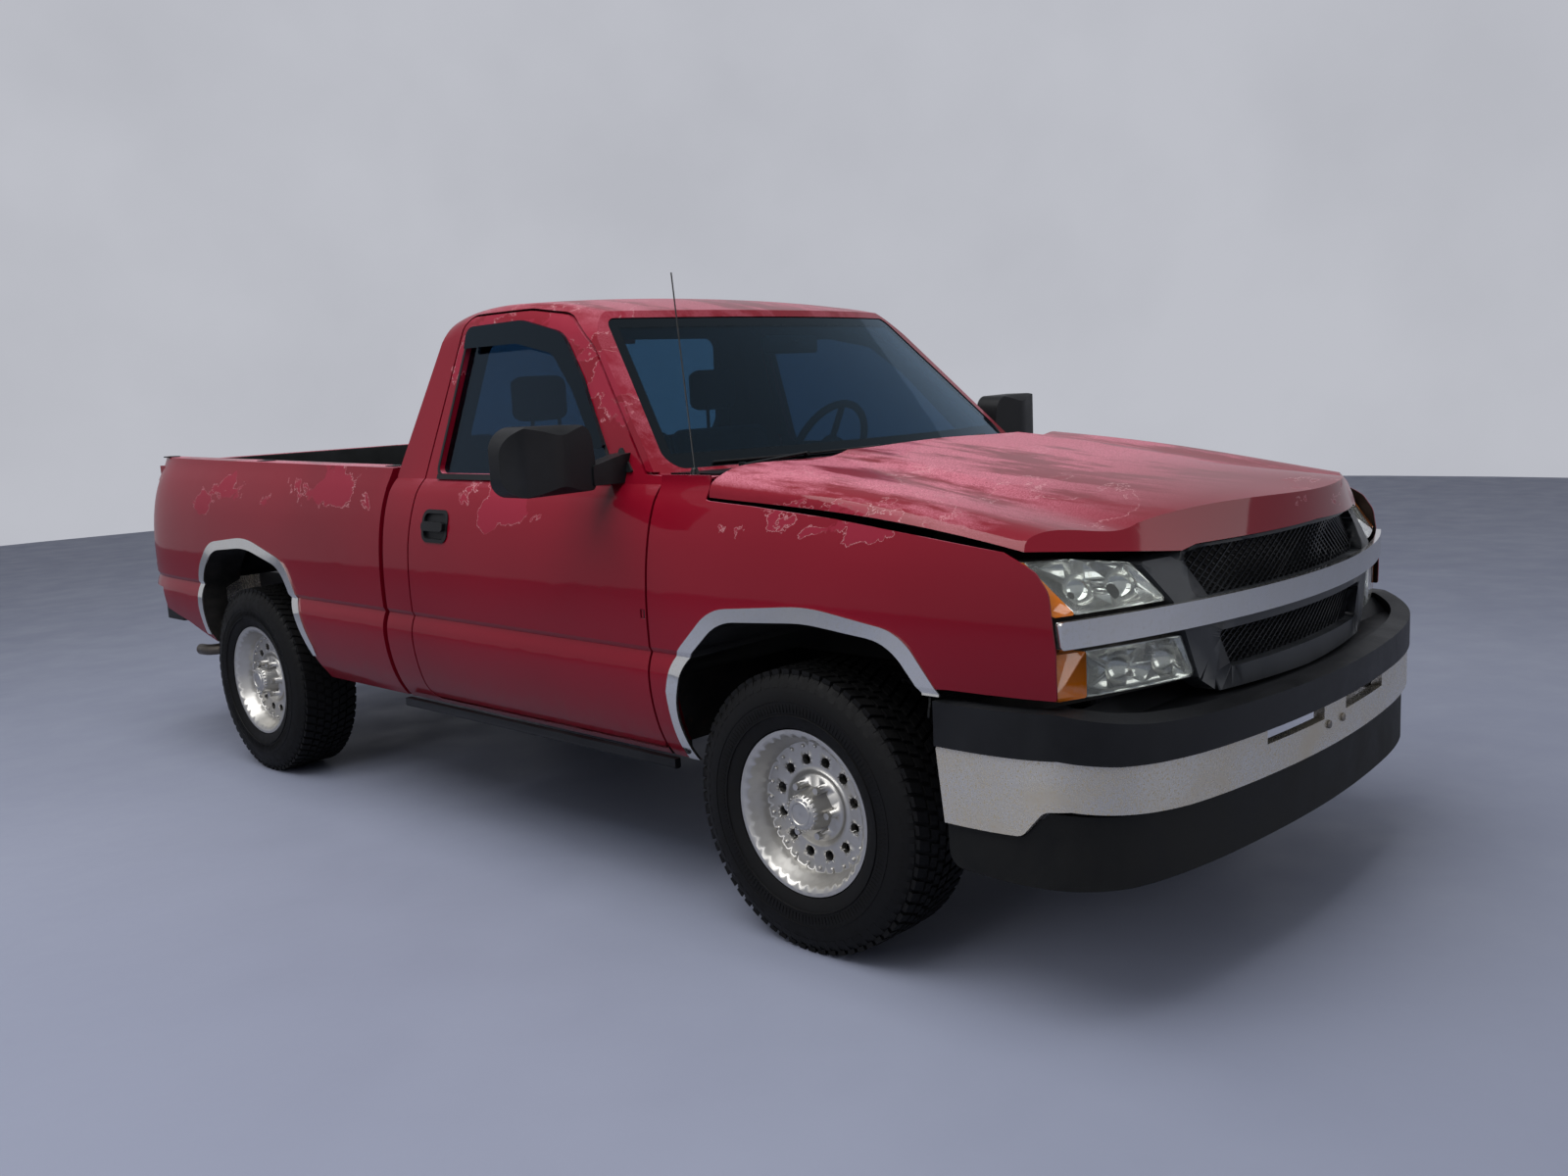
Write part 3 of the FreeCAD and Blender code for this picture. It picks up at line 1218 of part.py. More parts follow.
def front_suspension():
    """Upper and lower arms with coil springs, and the rear leaf springs."""
    y = front_axle_y
    z = tyre_radius
    rack_height = z - 62 - rod_gap - 24
    lower = prism("plan", [(-rail_x - 36.3, y - 190, 20), (-rail_x - 36.3, y + 190, 20),
                           (-steer_axis_x - 4, y + 28, 26), (-steer_axis_x - 4, y - 28, 26)],
                  z - lower_joint - 30, z - lower_joint - 0.4)
    upper = prism("plan", [(-rail_x - 36.3, y - 120, 16), (-rail_x - 36.3, y + 120, 16),
                           (-steer_axis_x - 2, y + 22, 20), (-steer_axis_x - 2, y - 22, 20)],
                  z + upper_joint + 0.4, z + upper_joint + 20)
    window = prism("plan", [(-rail_x - 80, y - 110, 30), (-rail_x - 80, y - 60, 10), (-rail_x - 170, y - 54, 10),
                            (-rail_x - 200, y - 80, 10)],
                   z - 160, z - 110)
    column = rod(V(-rail_x - 110, y, z - lower_joint - 1), V(-rail_x - 110, y, z + upper_joint + 1), 48)
    stand = block(-rail_x - 60, -rail_x - 36.3, y - 190, y + 190, z - lower_joint - 30, z + 250)
    passage = rod(V(-rail_x - 80, y + steering_arm_length, rack_height), V(-rail_x, y + steering_arm_length,
                  rack_height), rod_radius + 6)
    return solids(fused([lower.cut(window), upper, column, stand]).cut(passage))


def leaf_spring():
    x = -rail_x - 75
    y = rear_axle_y
    leaf = 62 / 2.0
    main = prism("side", [(y - 640, 560, 0), (y - 400, 500, 200), (y, 452, 300), (y + 400, 500, 200),
                          (y + 640, 590, 0), (y + 640, 578, 0), (y + 400, 488, 200), (y, 440, 300),
                          (y - 400, 488, 200), (y - 640, 548, 0)][::-1], x - leaf, x + leaf)
    pack = prism("side", [(y - 380, 486, 0), (y, 441, 300), (y + 380, 486, 0), (y + 300, 462, 0),
                          (y, 424, 0), (y - 300, 462, 0)][::-1], x - leaf, x + leaf)
    eyes = []
    for dy, z in ((-640, 554), (640, 584)):
        eyes.append(rod(V(x - leaf, y + dy, z), V(x + leaf, y + dy, z), 26))
        eyes.append(block(x - leaf, -rail_x - 36.3, y + dy - 20, y + dy + 20, z, z + 50))
    return solids(fused([main, pack] + eyes))


def suspension():
    parts = front_suspension().Solids + leaf_spring().Solids
    return Part.makeCompound(parts + [mirrored(part) for part in parts])


def rear_axle():
    """Axle housing with its differential, brake anchors and driveshaft."""
    y = rear_axle_y
    z = tyre_radius
    end = track_half - 74
    tube = rod(V(-end, y, z), V(end, y, z), axle_tube_radius)
    reach = track_half + rim_half_width - 70 - seat_gap
    stub = rod(V(-reach, y, z), V(reach, y, z), spindle_radius)
    centre = turned([(-120, axle_tube_radius - 6), (-75, 105), (-40, 145), (40, 145), (75, 105),
                     (120, axle_tube_radius - 6)])
    centre.translate(V(pinion_x, y, z))
    nose = Part.makeCone(56, 96, 200, V(pinion_x, y - pinion_reach, pinion_z), V(0, 1, 0))
    pads = []
    for sign in (-1, 1):
        low, high = sorted((sign * (rail_x + 45), sign * (rail_x + 105)))
        pads.append(block(low, high, y - 60, y + 60, z + 20, 423.7))
    return fused([tube, stub, centre, nose] + pads)


def powertrain():
    """Engine as one block with the gearbox behind it."""
    engine = prism("front", [(-250, 560, 40), (-150, 470, 40), (150, 470, 40), (250, 560, 40),
                             (300, 900, 60), (170, 1040, 60), (-170, 1040, 60), (-300, 900, 60)],
                   -2180, -1480)
    gearbox = Part.makeCone(170, 82, 730, V(0, -1481, 590), V(0, 1, -0.15))
    sump = block(-120, 120, -1400, -800, 425, 540)
    feet = block(-rail_x + 36.3, rail_x - 36.3, -1900, -1840, 540, 620)
    tail = block(-100, 100, -640, driveshaft_front_y, 430.3, driveshaft_front_z)
    tail_case = rod(V(0, -800, driveshaft_front_z + 2), V(0, driveshaft_front_y, driveshaft_front_z), 39)
    return fused([engine, gearbox, sump, feet, tail, tail_case])


def driveshaft():
    front = Part.makeCircle(driveshaft_radius, V(0, driveshaft_front_y + seat_gap, driveshaft_front_z), V(0, 1, 0))
    rear = Part.makeCircle(driveshaft_radius, V(pinion_x, rear_axle_y - pinion_reach - seat_gap, pinion_z),
                           V(0, 1, 0))
    return Part.makeLoft([Part.Wire(front), Part.Wire(rear)], True, True)


def fuel_tank():
    inner = rail_x - 36 - 12
    tank = prism("front", [(125, 400, 30), (inner, 400, 30), (inner, 640, 40), (125, 640, 40)], 380, 1080)
    straps = [block(inner - 20, rail_x - rail_width / 2 - seat_gap, y, y + 40, 440, 500) for y in (480, 800)]
    return fused([tank] + straps)


def exhaust():
    """Pipe and muffler on the right, with the tailpipe behind the rear wheel."""
    level = 484 - seat_gap - exhaust_radius
    path = [V(-235, -1400, 560), V(-235, -1150, level), V(-235, 500, level), V(-235, 1000, 480),
            V(-250, 1240, 540), V(-250, 1560, 540), V(-300, 1800, 470), V(-600, 2080, 420), V(-800, 2230, 395),
            V(-800, 2330, 390)]
    pipe = bent_pipe(path, exhaust_radius, 90)
    muffler = prism("front", [(-332, 400, 50), (-132, 400, 50), (-132, 520, 50), (-332, 520, 50)], 350, 850)
    return fused([pipe, muffler])


def wheel_liners():
    """Inner fender over each front wheel, open below."""
    outer = arch_cutter(front_arch, front_axle_y, 16, -1000, -500)
    inner = arch_cutter(front_arch, front_axle_y, 10, -1010, -506)
    shell = outer.cut(inner).common(block(-1000, -400, -2200, -1000, 700, 1000))
    shell = shell.common(tapered_side(side_runs, fender_stations, skin + seat_gap, 500))
    return pair(solids(shell))


def dashboard():
    """Dashboard with the steering column."""
    board = prism("side", [(-1110, 900, 0), (-930, 860, 40), (-800, 1000, 60), (-820, 1180, 50),
                           (-960, 1212, 60), (-1110, 1212, 0)], -826, 826)
    legs = block(-826, -780, -1110, -1000, cab_floor + seat_gap, 900)
    legs = legs.fuse(mirrored(legs))
    tilt = math.radians(steering_wheel_tilt)
    centre = V(steering_wheel_x, steering_wheel_y, steering_wheel_z)
    along = V(0, -math.cos(tilt), -math.sin(tilt))
    column = rod(centre + along * 34, centre + along * 330, 34)
    return solids(board.fuse(legs).fuse(column))


def steering_wheel():
    tilt = math.radians(steering_wheel_tilt)
    centre = V(steering_wheel_x, steering_wheel_y, steering_wheel_z)
    along = V(0, -math.cos(tilt), -math.sin(tilt))
    ring = Part.makeTorus(steering_wheel_radius, 14, centre, along)
    hub = rod(centre + along * 26, centre - along * 10, 62)
    across = V(1, 0, 0)
    down = along.cross(across)
    spokes = []
    for direction in (across, -across, down):
        spokes.append(rod(centre + direction * 40, centre + direction * (steering_wheel_radius - 4), 12))
    stub = rod(centre + along * 20, centre + along * 33.5, 20)
    return fused([ring, hub, stub] + spokes)


def seat():
    """Split bench with backrests and headrests."""
    parts = []
    for x0, x1 in ((-700, -165), (-155, 155), (165, 700)):
        cushion = prism("side", [(-560, 700, 30), (-120, 680, 30), (-80, 780, 30), (-110, 870, 30),
                                 (-560, 890, 60)], x0, x1)
        back = prism("side", [(-170, 790, 30), (-20, 780, 30), (130, 1340, 50), (20, 1360, 50)][::-1], x0, x1)
        base = block(x0 + 40, x1 - 40, -520, -60, cab_floor + 0.3, 720)
        pieces = [cushion, back, base]
        if abs(x0 + x1) > 100:
            middle = (x0 + x1) / 2.0
            rest = prism("side", [(0, 1390, 30), (110, 1390, 30), (135, 1560, 40), (40, 1570, 40)][::-1],
                         middle - 130, middle + 130)
            posts = [rod(V(middle + d, 70, 1320), V(middle + d, 80, 1420), 8) for d in (-60, 60)]
            pieces += [rest] + posts
        parts.append(fused(pieces))
    return Part.makeCompound(parts)


def rear_bumper():
    """Step bumper across the back with its black end pads."""
    plan = [(-880, 2290, 20), (-880, 2480, 60), (-760, 2590, 60), (-300, 2612, 0), (300, 2612, 0),
            (760, 2590, 60), (880, 2480, 60), (880, 2290, 20), (846, 2290, 5), (846, 2478, 40),
            (745, 2555, 40), (300, 2575, 0), (-300, 2575, 0), (-745, 2555, 40), (-846, 2478, 40),
            (-846, 2290, 5)]
    face = prism("plan", plan, 540, 700)
    trim = prism("side", [(2280, 640, 0), (2280, 530, 0), (2450, 530, 0), (2640, 530, 0), (2640, 710, 0),
                          (2440, 710, 0)], -1000, 1000)
    face = face.common(trim)
    step = prism("plan", [(-846, 2470, 20), (846, 2470, 20), (846, 2480, 0), (745, 2560, 0), (300, 2580, 0),
                          (-300, 2580, 0), (-745, 2560, 0), (-846, 2480, 0)], 688, 696)
    bracket = block(-rail_x - 30, -rail_x + 30, 2470.3, 2585, 596, 692)
    face = fused([face, step, bracket, mirrored(bracket)])
    face = face.cut(rod(V(0, ball_hole_y, 600), V(0, ball_hole_y, 720), ball_hole_radius))
    screw = rod(V(plate_hole_spacing / 2, 2500, 640), V(plate_hole_spacing / 2, 2700, 640), plate_hole_radius)
    return solids(face.cut(screw).cut(mirrored(screw)))


def tail_lamps():
    lamp = block(-952, -862.3, body_rear - 61.7, body_rear + 4, 810.3, 1179.7)
    lamp = lamp.common(tapered_side(bed_runs, [(y, inset) for y, inset in bed_stations] + [(body_rear + 30, 78)],
                                    4, 200))
    return pair(solids(lamp))


def windshield_place(x, z, lift):
    """Point on the windshield's outside, lifted off it."""
    y = windshield_base_y + (z - windshield_base_z) * windshield_slope + windshield_bow * (x / 870.0) ** 2
    return V(x, y - lift, z)


def wipers():
    """Two wiper arms with their blades at the foot of the windshield."""
    parts = []
    for pivot_x, pivot_y, inner, outer in ((-690, -1178, -705, -70), (80, -1262, -10, 620)):
        middle = (inner + outer) / 2.0
        pivot = rod(V(pivot_x, pivot_y, cowl_top + seat_gap), V(pivot_x, pivot_y, cowl_top + 20), 10)
        arm = rod(V(pivot_x, pivot_y, cowl_top + 11), windshield_place(middle, 1276, 14), 5)
        stations = [inner + share * (outer - inner) / 6.0 for share in range(7)]
        blade = bent_pipe([windshield_place(x, 1276 - abs(x) * 0.008, 8) for x in stations], 4, 400)
        clip = rod(windshield_place(middle, 1272, 5), windshield_place(middle, 1274, 22), 7)
        parts.append(solids(fused([pivot, arm, clip, blade])))
    return Part.makeCompound(parts)


def rocker_strips():
    """Black strip below each sill between the wheels."""
    strip = prism("front", [(-952, 415, 6), (-930, 415, 6), (-930, sill_height - seat_gap, 0),
                            (-952, sill_height - seat_gap, 0)], cab_front + 40, cab_rear - 10)
    return pair(strip)


def antenna():
    base = V(-868, -1170, 1245.3)
    foot = Part.makeCone(16, 8, 22, base, V(0, 0, 1))
    mast = rod(base + V(0, 0, 20), V(-868, -1120, 1800), 2)
    return foot.fuse(mast)


def fuel_door_tool(shift, start, end):
    side = 82 - shift
    low = 905 - side
    high = 905 + side
    y0 = 640 - side
    y1 = 640 + side
    return prism("side", [(y0, low, 18), (y1, low, 18), (y1, high, 18), (y0, high, 18)], start, end)


def fuel_door():
    layer = tapered_side(bed_runs, bed_stations, 0, 6)
    door = layer.common(fuel_door_tool(5, -1100, -900))
    return mirrored(solids(door))


def left_bedside():
    neck = Part.makeCylinder(34, 22, V(-940, 640, 905), V(-1, 0, 0))
    pocket = fuel_door_tool(0, -1100, -945).cut(neck)
    body = bedside().cut(pocket)
    layer = tapered_side(bed_runs, bed_stations, 6 + seat_gap, 60)
    for z in (850, 950):
        body = body.fuse(layer.common(block(-1100, -940, 690, 704, z, z + 14)))
    return mirrored(solids(body))


def build():
    nodes = {
        "frame": frame_ladder,
        "suspension": suspension,
        "rear_axle": rear_axle,
        "powertrain": powertrain,
        "driveshaft": driveshaft,
        "fuel_tank": fuel_tank,
        "exhaust": exhaust,
        "cab_shell": cab_shell,
        "cab_glass": cab_glass,
        "cowl_panel": cowl_panel,
        "dashboard": dashboard,
        "seat": seat,
        "fender_right": fender,
        "fender_left": lambda: mirrored(fender()),
        "wheel_liners": wheel_liners,
        "radiator_support": radiator_support,
        "grille": grille,
        "grille_bar": grille_bar,
        "headlamps": headlamps,
        "lamp_reflectors": lamp_reflectors,
        "signal_lenses": signal_lenses,
        "front_bumper": front_bumper,
        "bumper_covers": bumper_covers,
        "bed_box": bed_box,
        "bedside_right": lambda: solids(bedside()),
        "bedside_left": left_bedside,
        "rear_bumper": rear_bumper,
        "tail_lamps": tail_lamps,
        "arch_trims": arch_trims,
        "wipers": wipers,
        "rocker_strips": rocker_strips,
        "antenna": antenna,
        "hood": hood_panel,
        "tailgate": tailgate,
        "fuel_door": fuel_door,
        "door_right": lambda: solids(door_panel()),
        "door_left": lambda: mirrored(solids(door_panel())),
        "door_glass_right": door_window,
        "door_glass_left": lambda: mirrored(door_window()),
        "door_fittings_right": door_fittings,
        "door_fittings_left": lambda: mirrored(door_fittings()),
        "door_visor_right": door_visor,
        "door_visor_left": lambda: mirrored(door_visor()),
        "knuckle_right": knuckle,
        "knuckle_left": lambda: mirrored(knuckle()),
        "tie_rods": tie_rods,
        "steering_wheel": steering_wheel,
    }
    for name, x, y in (("front_right", -track_half, front_axle_y), ("front_left", track_half, front_axle_y),
                       ("rear_right", -track_half, rear_axle_y), ("rear_left", track_half, rear_axle_y)):
        nodes["tyre_" + name] = lambda x=x, y=y: wheel_about(x, y, tyre)
        nodes["rim_" + name] = lambda x=x, y=y: wheel_about(x, y, rim)
        nodes["rotor_" + name] = lambda x=x, y=y: wheel_about(x, y, rotor)
    return nodes


def main():
    os.makedirs("parts", exist_ok=True)
    for name, make in build().items():
        shape = make()
        shape.exportStep("parts/" + name + ".step")
        print(name, len(shape.Solids), "solids", round(shape.Volume / 1e6, 3), "litres",
              "valid" if shape.isValid() else "NOT VALID")


main()
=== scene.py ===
"""Full-size pickup truck with a regular cab and a short bed, in faded crimson paint."""

import json
import math
from functools import partial

import bpy
import numpy
from mathutils import Matrix, Vector
from mathutils.kdtree import KDTree

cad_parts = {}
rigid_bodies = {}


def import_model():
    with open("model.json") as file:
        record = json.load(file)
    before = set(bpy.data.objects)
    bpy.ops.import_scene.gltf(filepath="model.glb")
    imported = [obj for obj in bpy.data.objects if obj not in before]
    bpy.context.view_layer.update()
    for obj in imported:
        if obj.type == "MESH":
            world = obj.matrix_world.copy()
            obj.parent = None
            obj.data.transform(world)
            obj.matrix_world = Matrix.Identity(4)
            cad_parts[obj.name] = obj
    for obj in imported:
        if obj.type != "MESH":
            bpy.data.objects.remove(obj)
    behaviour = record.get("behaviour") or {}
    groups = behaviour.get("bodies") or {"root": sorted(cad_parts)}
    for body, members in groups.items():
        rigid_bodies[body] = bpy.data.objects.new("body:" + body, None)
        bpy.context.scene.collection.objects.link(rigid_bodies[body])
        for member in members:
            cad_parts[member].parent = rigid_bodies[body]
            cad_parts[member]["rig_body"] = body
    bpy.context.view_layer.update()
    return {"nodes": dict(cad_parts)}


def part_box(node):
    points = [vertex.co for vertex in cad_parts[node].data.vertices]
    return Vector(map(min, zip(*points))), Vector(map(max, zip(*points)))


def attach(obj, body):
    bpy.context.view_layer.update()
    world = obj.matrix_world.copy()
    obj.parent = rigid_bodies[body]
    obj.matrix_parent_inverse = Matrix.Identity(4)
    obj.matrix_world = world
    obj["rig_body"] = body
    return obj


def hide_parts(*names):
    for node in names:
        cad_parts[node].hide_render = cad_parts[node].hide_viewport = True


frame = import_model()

bl_info = {
    "name": "Crimson pickup truck",
    "version": (1, 0, 0),
    "blender": (4, 5, 0),
    "location": "3D View > Sidebar > Pickup",
    "description": "Builds the looks of a used regular cab pickup around its CAD frame",
    "category": "Object",
}


# What a user would change


def linear(code):
    """Turns an sRGB hex colour into the linear colour that a shader wants."""
    values = [int(code[i:i + 2], 16) / 255 for i in (1, 3, 5)]
    return [v / 12.92 if v <= 0.04045 else ((v + 0.055) / 1.055) ** 2.4 for v in values] + [1.0]


class StageSettings(bpy.types.PropertyGroup):
    floor_colour: bpy.props.FloatVectorProperty(
        name="Floor colour", description="Colour of the floor", size=4, min=0.0, max=1.0, subtype="COLOR",
        default=linear("#82879A"))
    lamp_power: bpy.props.FloatProperty(
        name="Lamp power", description="Power of the large overhead lamp", default=570.0, min=0.0,
        subtype="POWER")


class PaintSettings(bpy.types.PropertyGroup):
    deep: bpy.props.FloatVectorProperty(
        name="Deep crimson", description="Colour of the paint at its darkest", size=4, min=0.0, max=1.0,
        subtype="COLOR", default=linear("#6E0318"))
    bright: bpy.props.FloatVectorProperty(
        name="Bright crimson", description="Colour of the paint at its brightest", size=4, min=0.0, max=1.0,
        subtype="COLOR", default=linear("#7F061E"))
    chalk: bpy.props.FloatVectorProperty(
        name="Chalk", description="Colour of the chalk on the hood and roof", size=4, min=0.0, max=1.0,
        subtype="COLOR", default=linear("#DC8B9D"))


class BenchSettings(bpy.types.PropertyGroup):
    swell: bpy.props.FloatProperty(
        name="Swell", description="How far the filling may push the cloth out", default=0.012, min=0.0,
        unit="LENGTH")
    seam_depth: bpy.props.FloatProperty(
        name="Seam depth", description="Depth of the sewn channels", default=0.007, min=0.0, unit="LENGTH")


class TyreSettings(bpy.types.PropertyGroup):
    tread_blocks: bpy.props.IntProperty(
        name="Tread blocks", description="Blocks in one row round the tyre", default=66, min=12)


# Small helpers


def put_down():
    """Deselects everything, because the frame's nodes come in selected."""
    if bpy.context.object and bpy.context.object.mode != "OBJECT":
        bpy.ops.object.mode_set(mode="OBJECT")
    bpy.ops.object.select_all(action="DESELECT")


def pick_up(*pieces):
    """Selects these pieces alone and makes the first one active."""
    put_down()
    for piece in pieces:
        piece.select_set(True)
    bpy.context.view_layer.objects.active = pieces[0]


def add_node(tree, kind, inputs=(), output=0, **settings):
    """Adds a shader node with its settings, links or fills its inputs, and returns one of its outputs."""
    made = tree.nodes.new("ShaderNode" + kind)
    for key, value in settings.items():
        setattr(made, key, value)
    for key, value in inputs.items() if isinstance(inputs, dict) else enumerate(inputs):
        if isinstance(value, bpy.types.NodeSocket):
            tree.links.new(value, made.inputs[key])
        else:
            made.inputs[key].default_value = linear(value) if isinstance(value, str) else value
    return made.outputs[output] if made.outputs else None


def new_material(name, maker, *settings):
    """A node material whose shader its maker builds round the place of the pattern on the piece."""
    material = bpy.data.materials.new(name)
    material.use_nodes = True
    material.node_tree.nodes.clear()
    add = partial(add_node, material.node_tree)
    add("OutputMaterial", {"Surface": maker(add, add("TexCoord", output="Object"), *settings)})
    return material


def clouds(place, size, detail=4.0, rough=0.55, swirl=0.0):
    """Inputs of a noise pattern whose clouds are about that many millimetres across."""
    return {"Vector": place, "Scale": 1000 / size, "Detail": detail, "Roughness": rough, "Distortion": swirl}


def threads(place, spacing, swirl=0.0):
    """Inputs of a wave pattern whose waves lie that many millimetres apart."""
    return {"Vector": place, "Scale": 1000 * math.pi / (10 * spacing), "Distortion": swirl}


# Materials


def crimson_paint(add, place):
    """Crimson basecoat under a glossy clear coat, chalky on the flats and peeled in map-like patches."""
    colours = bpy.context.scene.pickup_paint
    along = add("SeparateXYZ", (place,), 1)
    height = add("SeparateXYZ", (place,), 2)
    upward = add("MapRange", (add("SeparateXYZ", (add("TexCoord", output="Normal"),), 2), 0.60, 0.97))
    lengthwise = add("Mapping", {"Vector": place, "Scale": (1.0, 0.22, 1.0)})

    # The chalk lies on the hood's rear half and on the roof, in streaks that run lengthwise
    streaks = add("TexNoise", clouds(lengthwise, 154, 10.0, 0.68, 0.15))
    spread = add("Mix", {0: 0.38, 2: streaks, 3: add("TexNoise", clouds(place, 770, 3.0, 0.5))})
    on_hood = add("MapRange", (along, -2.42, -1.85))
    less_on_roof = add("MapRange", (height, 1.40, 1.60, 1.0, 0.62))
    gritty = add("MapRange", (add("TexNoise", clouds(place, 3.85, 3.0, 0.8)), 0.36, 0.60, 0.15, 1.0))
    chalk = add("MapRange", (spread, 0.462, 0.522))
    for share in (upward, on_hood, less_on_roof, gritty):
        chalk = add("Math", (chalk, share), operation="MULTIPLY")

    # The clear coat has let go above the waist, with a thin raised edge round each patch
    below_waist = add("MapRange", (height, 0.93, 1.12, 0.3, 0.0))
    islands = add("TexNoise", clouds(place, 435, 10.0, 0.60, 0.5))
    level = add("Math", (islands, below_waist), operation="SUBTRACT")
    away = add("Math", (add("Math", (level, 0.572), operation="SUBTRACT"),), operation="ABSOLUTE")
    broken = add("MapRange", (add("TexNoise", clouds(place, 182, 2.0)), 0.44, 0.52))
    edge = add("Math", (add("MapRange", (away, 0.0035, 0.0005)), broken), operation="MULTIPLY")
    less_on_flats = add("MapRange", (upward, 0.0, 0.6, 1.0, 0.25))
    bare = add("Math", (add("MapRange", (level, 0.570, 0.578)), less_on_flats), operation="MULTIPLY")

    near_road = add("MapRange", (height, 0.62, 0.42))
    specks = add("MapRange", (add("TexNoise", clouds(place, 71.4, 6.0, 0.7)), 0.35, 0.7))
    dust = add("Math", (near_road, specks), operation="MULTIPLY")
    tone = add("MapRange", (add("TexNoise", clouds(place, 1250, 2.0)), 0.3, 0.7))
    colour = add("Mix", {0: tone, 6: colours.deep, 7: colours.bright}, 2, data_type="RGBA")
    for cover, strength, code in ((bare, 0.28, "#A63A50"), (chalk, 0.78, colours.chalk),
                                  (edge, 0.50, "#D6A2A6"), (dust, 0.30, "#54423C")):
        share = add("Math", (cover, strength), operation="MULTIPLY")
        colour = add("Mix", {0: share, 6: colour, 7: code}, 2, data_type="RGBA")

    dull_chalk = add("Math", (chalk, 0.9), operation="MULTIPLY")
    dull_bare = add("Math", (bare, 0.45), operation="MULTIPLY")
    dull = add("Math", (dull_chalk, dull_bare), operation="MAXIMUM")
    ripple = add("TexNoise", clouds(place, 3.125, 2.0))
    relief = add("Math", (ripple, 0.4, edge), operation="MULTIPLY_ADD")
    return add("BsdfPrincipled", {
        "Base Color": colour, "Specular IOR Level": 0.08,
        "Roughness": add("MapRange", (dull, 0.0, 1.0, 0.45, 0.65)),
        "Coat Weight": add("MapRange", (dull, 0.0, 0.9, 0.45, 0.08)), "Coat Roughness": 0.06,
        "Normal": add("Bump", {"Height": relief, "Strength": 0.04, "Distance": 0.0006})})


def bright_chrome(add, place, grime, pit_size=11.1):
    """Plated steel: mirror bright, with a beige film and fine pits by the amount of grime."""
    film = add("MapRange", (add("TexNoise", clouds(place, 200, 5.0, 0.6, 0.3)), 0.30, 0.66, 0.25, 0.8))
    pits = add("MapRange", (add("TexNoise", clouds(place, pit_size, 5.0, 0.8)), 0.46, 0.60))
    soil = add("Math", (add("Math", (film, pits), operation="MAXIMUM"), grime), operation="MULTIPLY")
    colour = add("Mix", {0: soil, 6: "#DADBDB", 7: "#BAAB8C"}, 2, data_type="RGBA")
    return add("BsdfPrincipled", {
        "Base Color": colour, "Metallic": add("MapRange", (soil, 0.0, 1.0, 1.0, 0.5)),
        "Roughness": add("MapRange", (soil, 0.0, 1.0, 0.07, 0.42)),
        "Normal": add("Bump", {"Height": pits, "Strength": 0.1 * grime, "Distance": 0.0003})})


def moulded_plastic(add, place, dark, light, rough=0.5, grain=1.11, depth=0.25):
    """Moulded plastic with a fine leather grain, and paler where the sun has bleached it."""
    bleach = add("MapRange", (add("TexNoise", clouds(place, 200, 6.0, 0.6, 0.3)), 0.35, 0.72))
    colour = add("Mix", {0: bleach, 6: dark, 7: light}, 2, data_type="RGBA")
    cells = add("TexVoronoi", {"Vector": place, "Scale": 1000 / grain}, "Distance")
    height = add("Math", (cells, add("TexNoise", clouds(place, 16.7, 3.0))), operation="ADD")
    return add("BsdfPrincipled", {
        "Base Color": colour, "Specular IOR Level": 0.22,
        "Roughness": add("MapRange", (bleach, 0.0, 1.0, rough - 0.06, rough + 0.12)),
        "Normal": add("Bump", {"Height": height, "Strength": depth, "Distance": 0.0004})})


def machined_alloy(add, place):
    """Lathe-turned aluminium under thin lacquer, evenly silver, with a little brake dust."""
    dust = add("MapRange", (add("TexNoise", clouds(place, 38.5, 4.0, 0.6)), 0.45, 0.75))
    share = add("Math", (dust, 0.3), operation="MULTIPLY")
    turning = add("TexNoise", clouds(place, 1.11, 2.0))
    colour = add("Mix", {0: share, 6: "#BCBAB6", 7: "#97938B"}, 2, data_type="RGBA")
    return add("BsdfPrincipled", {
        "Base Color": colour,
        "Metallic": 0.9, "Roughness": add("MapRange", (dust, 0.0, 1.0, 0.34, 0.44)),
        "Normal": add("Bump", {"Height": turning, "Strength": 0.03, "Distance": 0.0002})})


def tyre_rubber(add, place):
    """Carbon-black rubber, matt and a little dusty."""
    dust = add("MapRange", (add("TexNoise", clouds(place, 45.5, 6.0, 0.7, 0.2)), 0.42, 0.75))
    share = add("Math", (dust, 0.5), operation="MULTIPLY")
    pores = add("TexNoise", clouds(place, 2, 3.0))
    colour = add("Mix", {0: share, 6: "#070708", 7: "#151414"}, 2, data_type="RGBA")
    return add("BsdfPrincipled", {
        "Base Color": colour,
        "Roughness": add("MapRange", (dust, 0.0, 1.0, 0.58, 0.85)), "Specular IOR Level": 0.2,
        "Normal": add("Bump", {"Height": pores, "Strength": 0.15, "Distance": 0.0004})})


def mirror_share(add):
    """Share of the light that a clear sheet reflects, alike from both of its sides."""
    slant = add("LayerWeight", {"Blend": 0.5}, "Facing")
    steep = add("Math", (slant, 5.0), operation="POWER")
    return add("Math", (steep, 0.9, 0.04), operation="MULTIPLY_ADD")


def window_glass(add, place, tint, rough=0.02, inked=None):
    """Tinted sheet that shows the cab, with its gloss tinted pale blue as a painted sky reflection, and
    black ink where inked gives its share.
    """
    smears = add("TexNoise", clouds(place, 167, 5.0, 0.6, 0.4))
    film = add("MapRange", (smears, 0.4, 0.8, rough, rough + 0.05))
    through = add("BsdfTransparent", {"Color": tint})
    if inked:
        ink = add("BsdfDiffuse", {"Color": "#0B0C0D"})
        through = add("MixShader", (inked(add, place), through, ink))
    # Painted reflection: the gloss is tinted pale blue to stand for a sky that the stage does not have
    gloss = add("BsdfGlossy", {"Color": "#C2DCF0", "Roughness": film})
    return add("MixShader", (mirror_share(add), through, gloss))


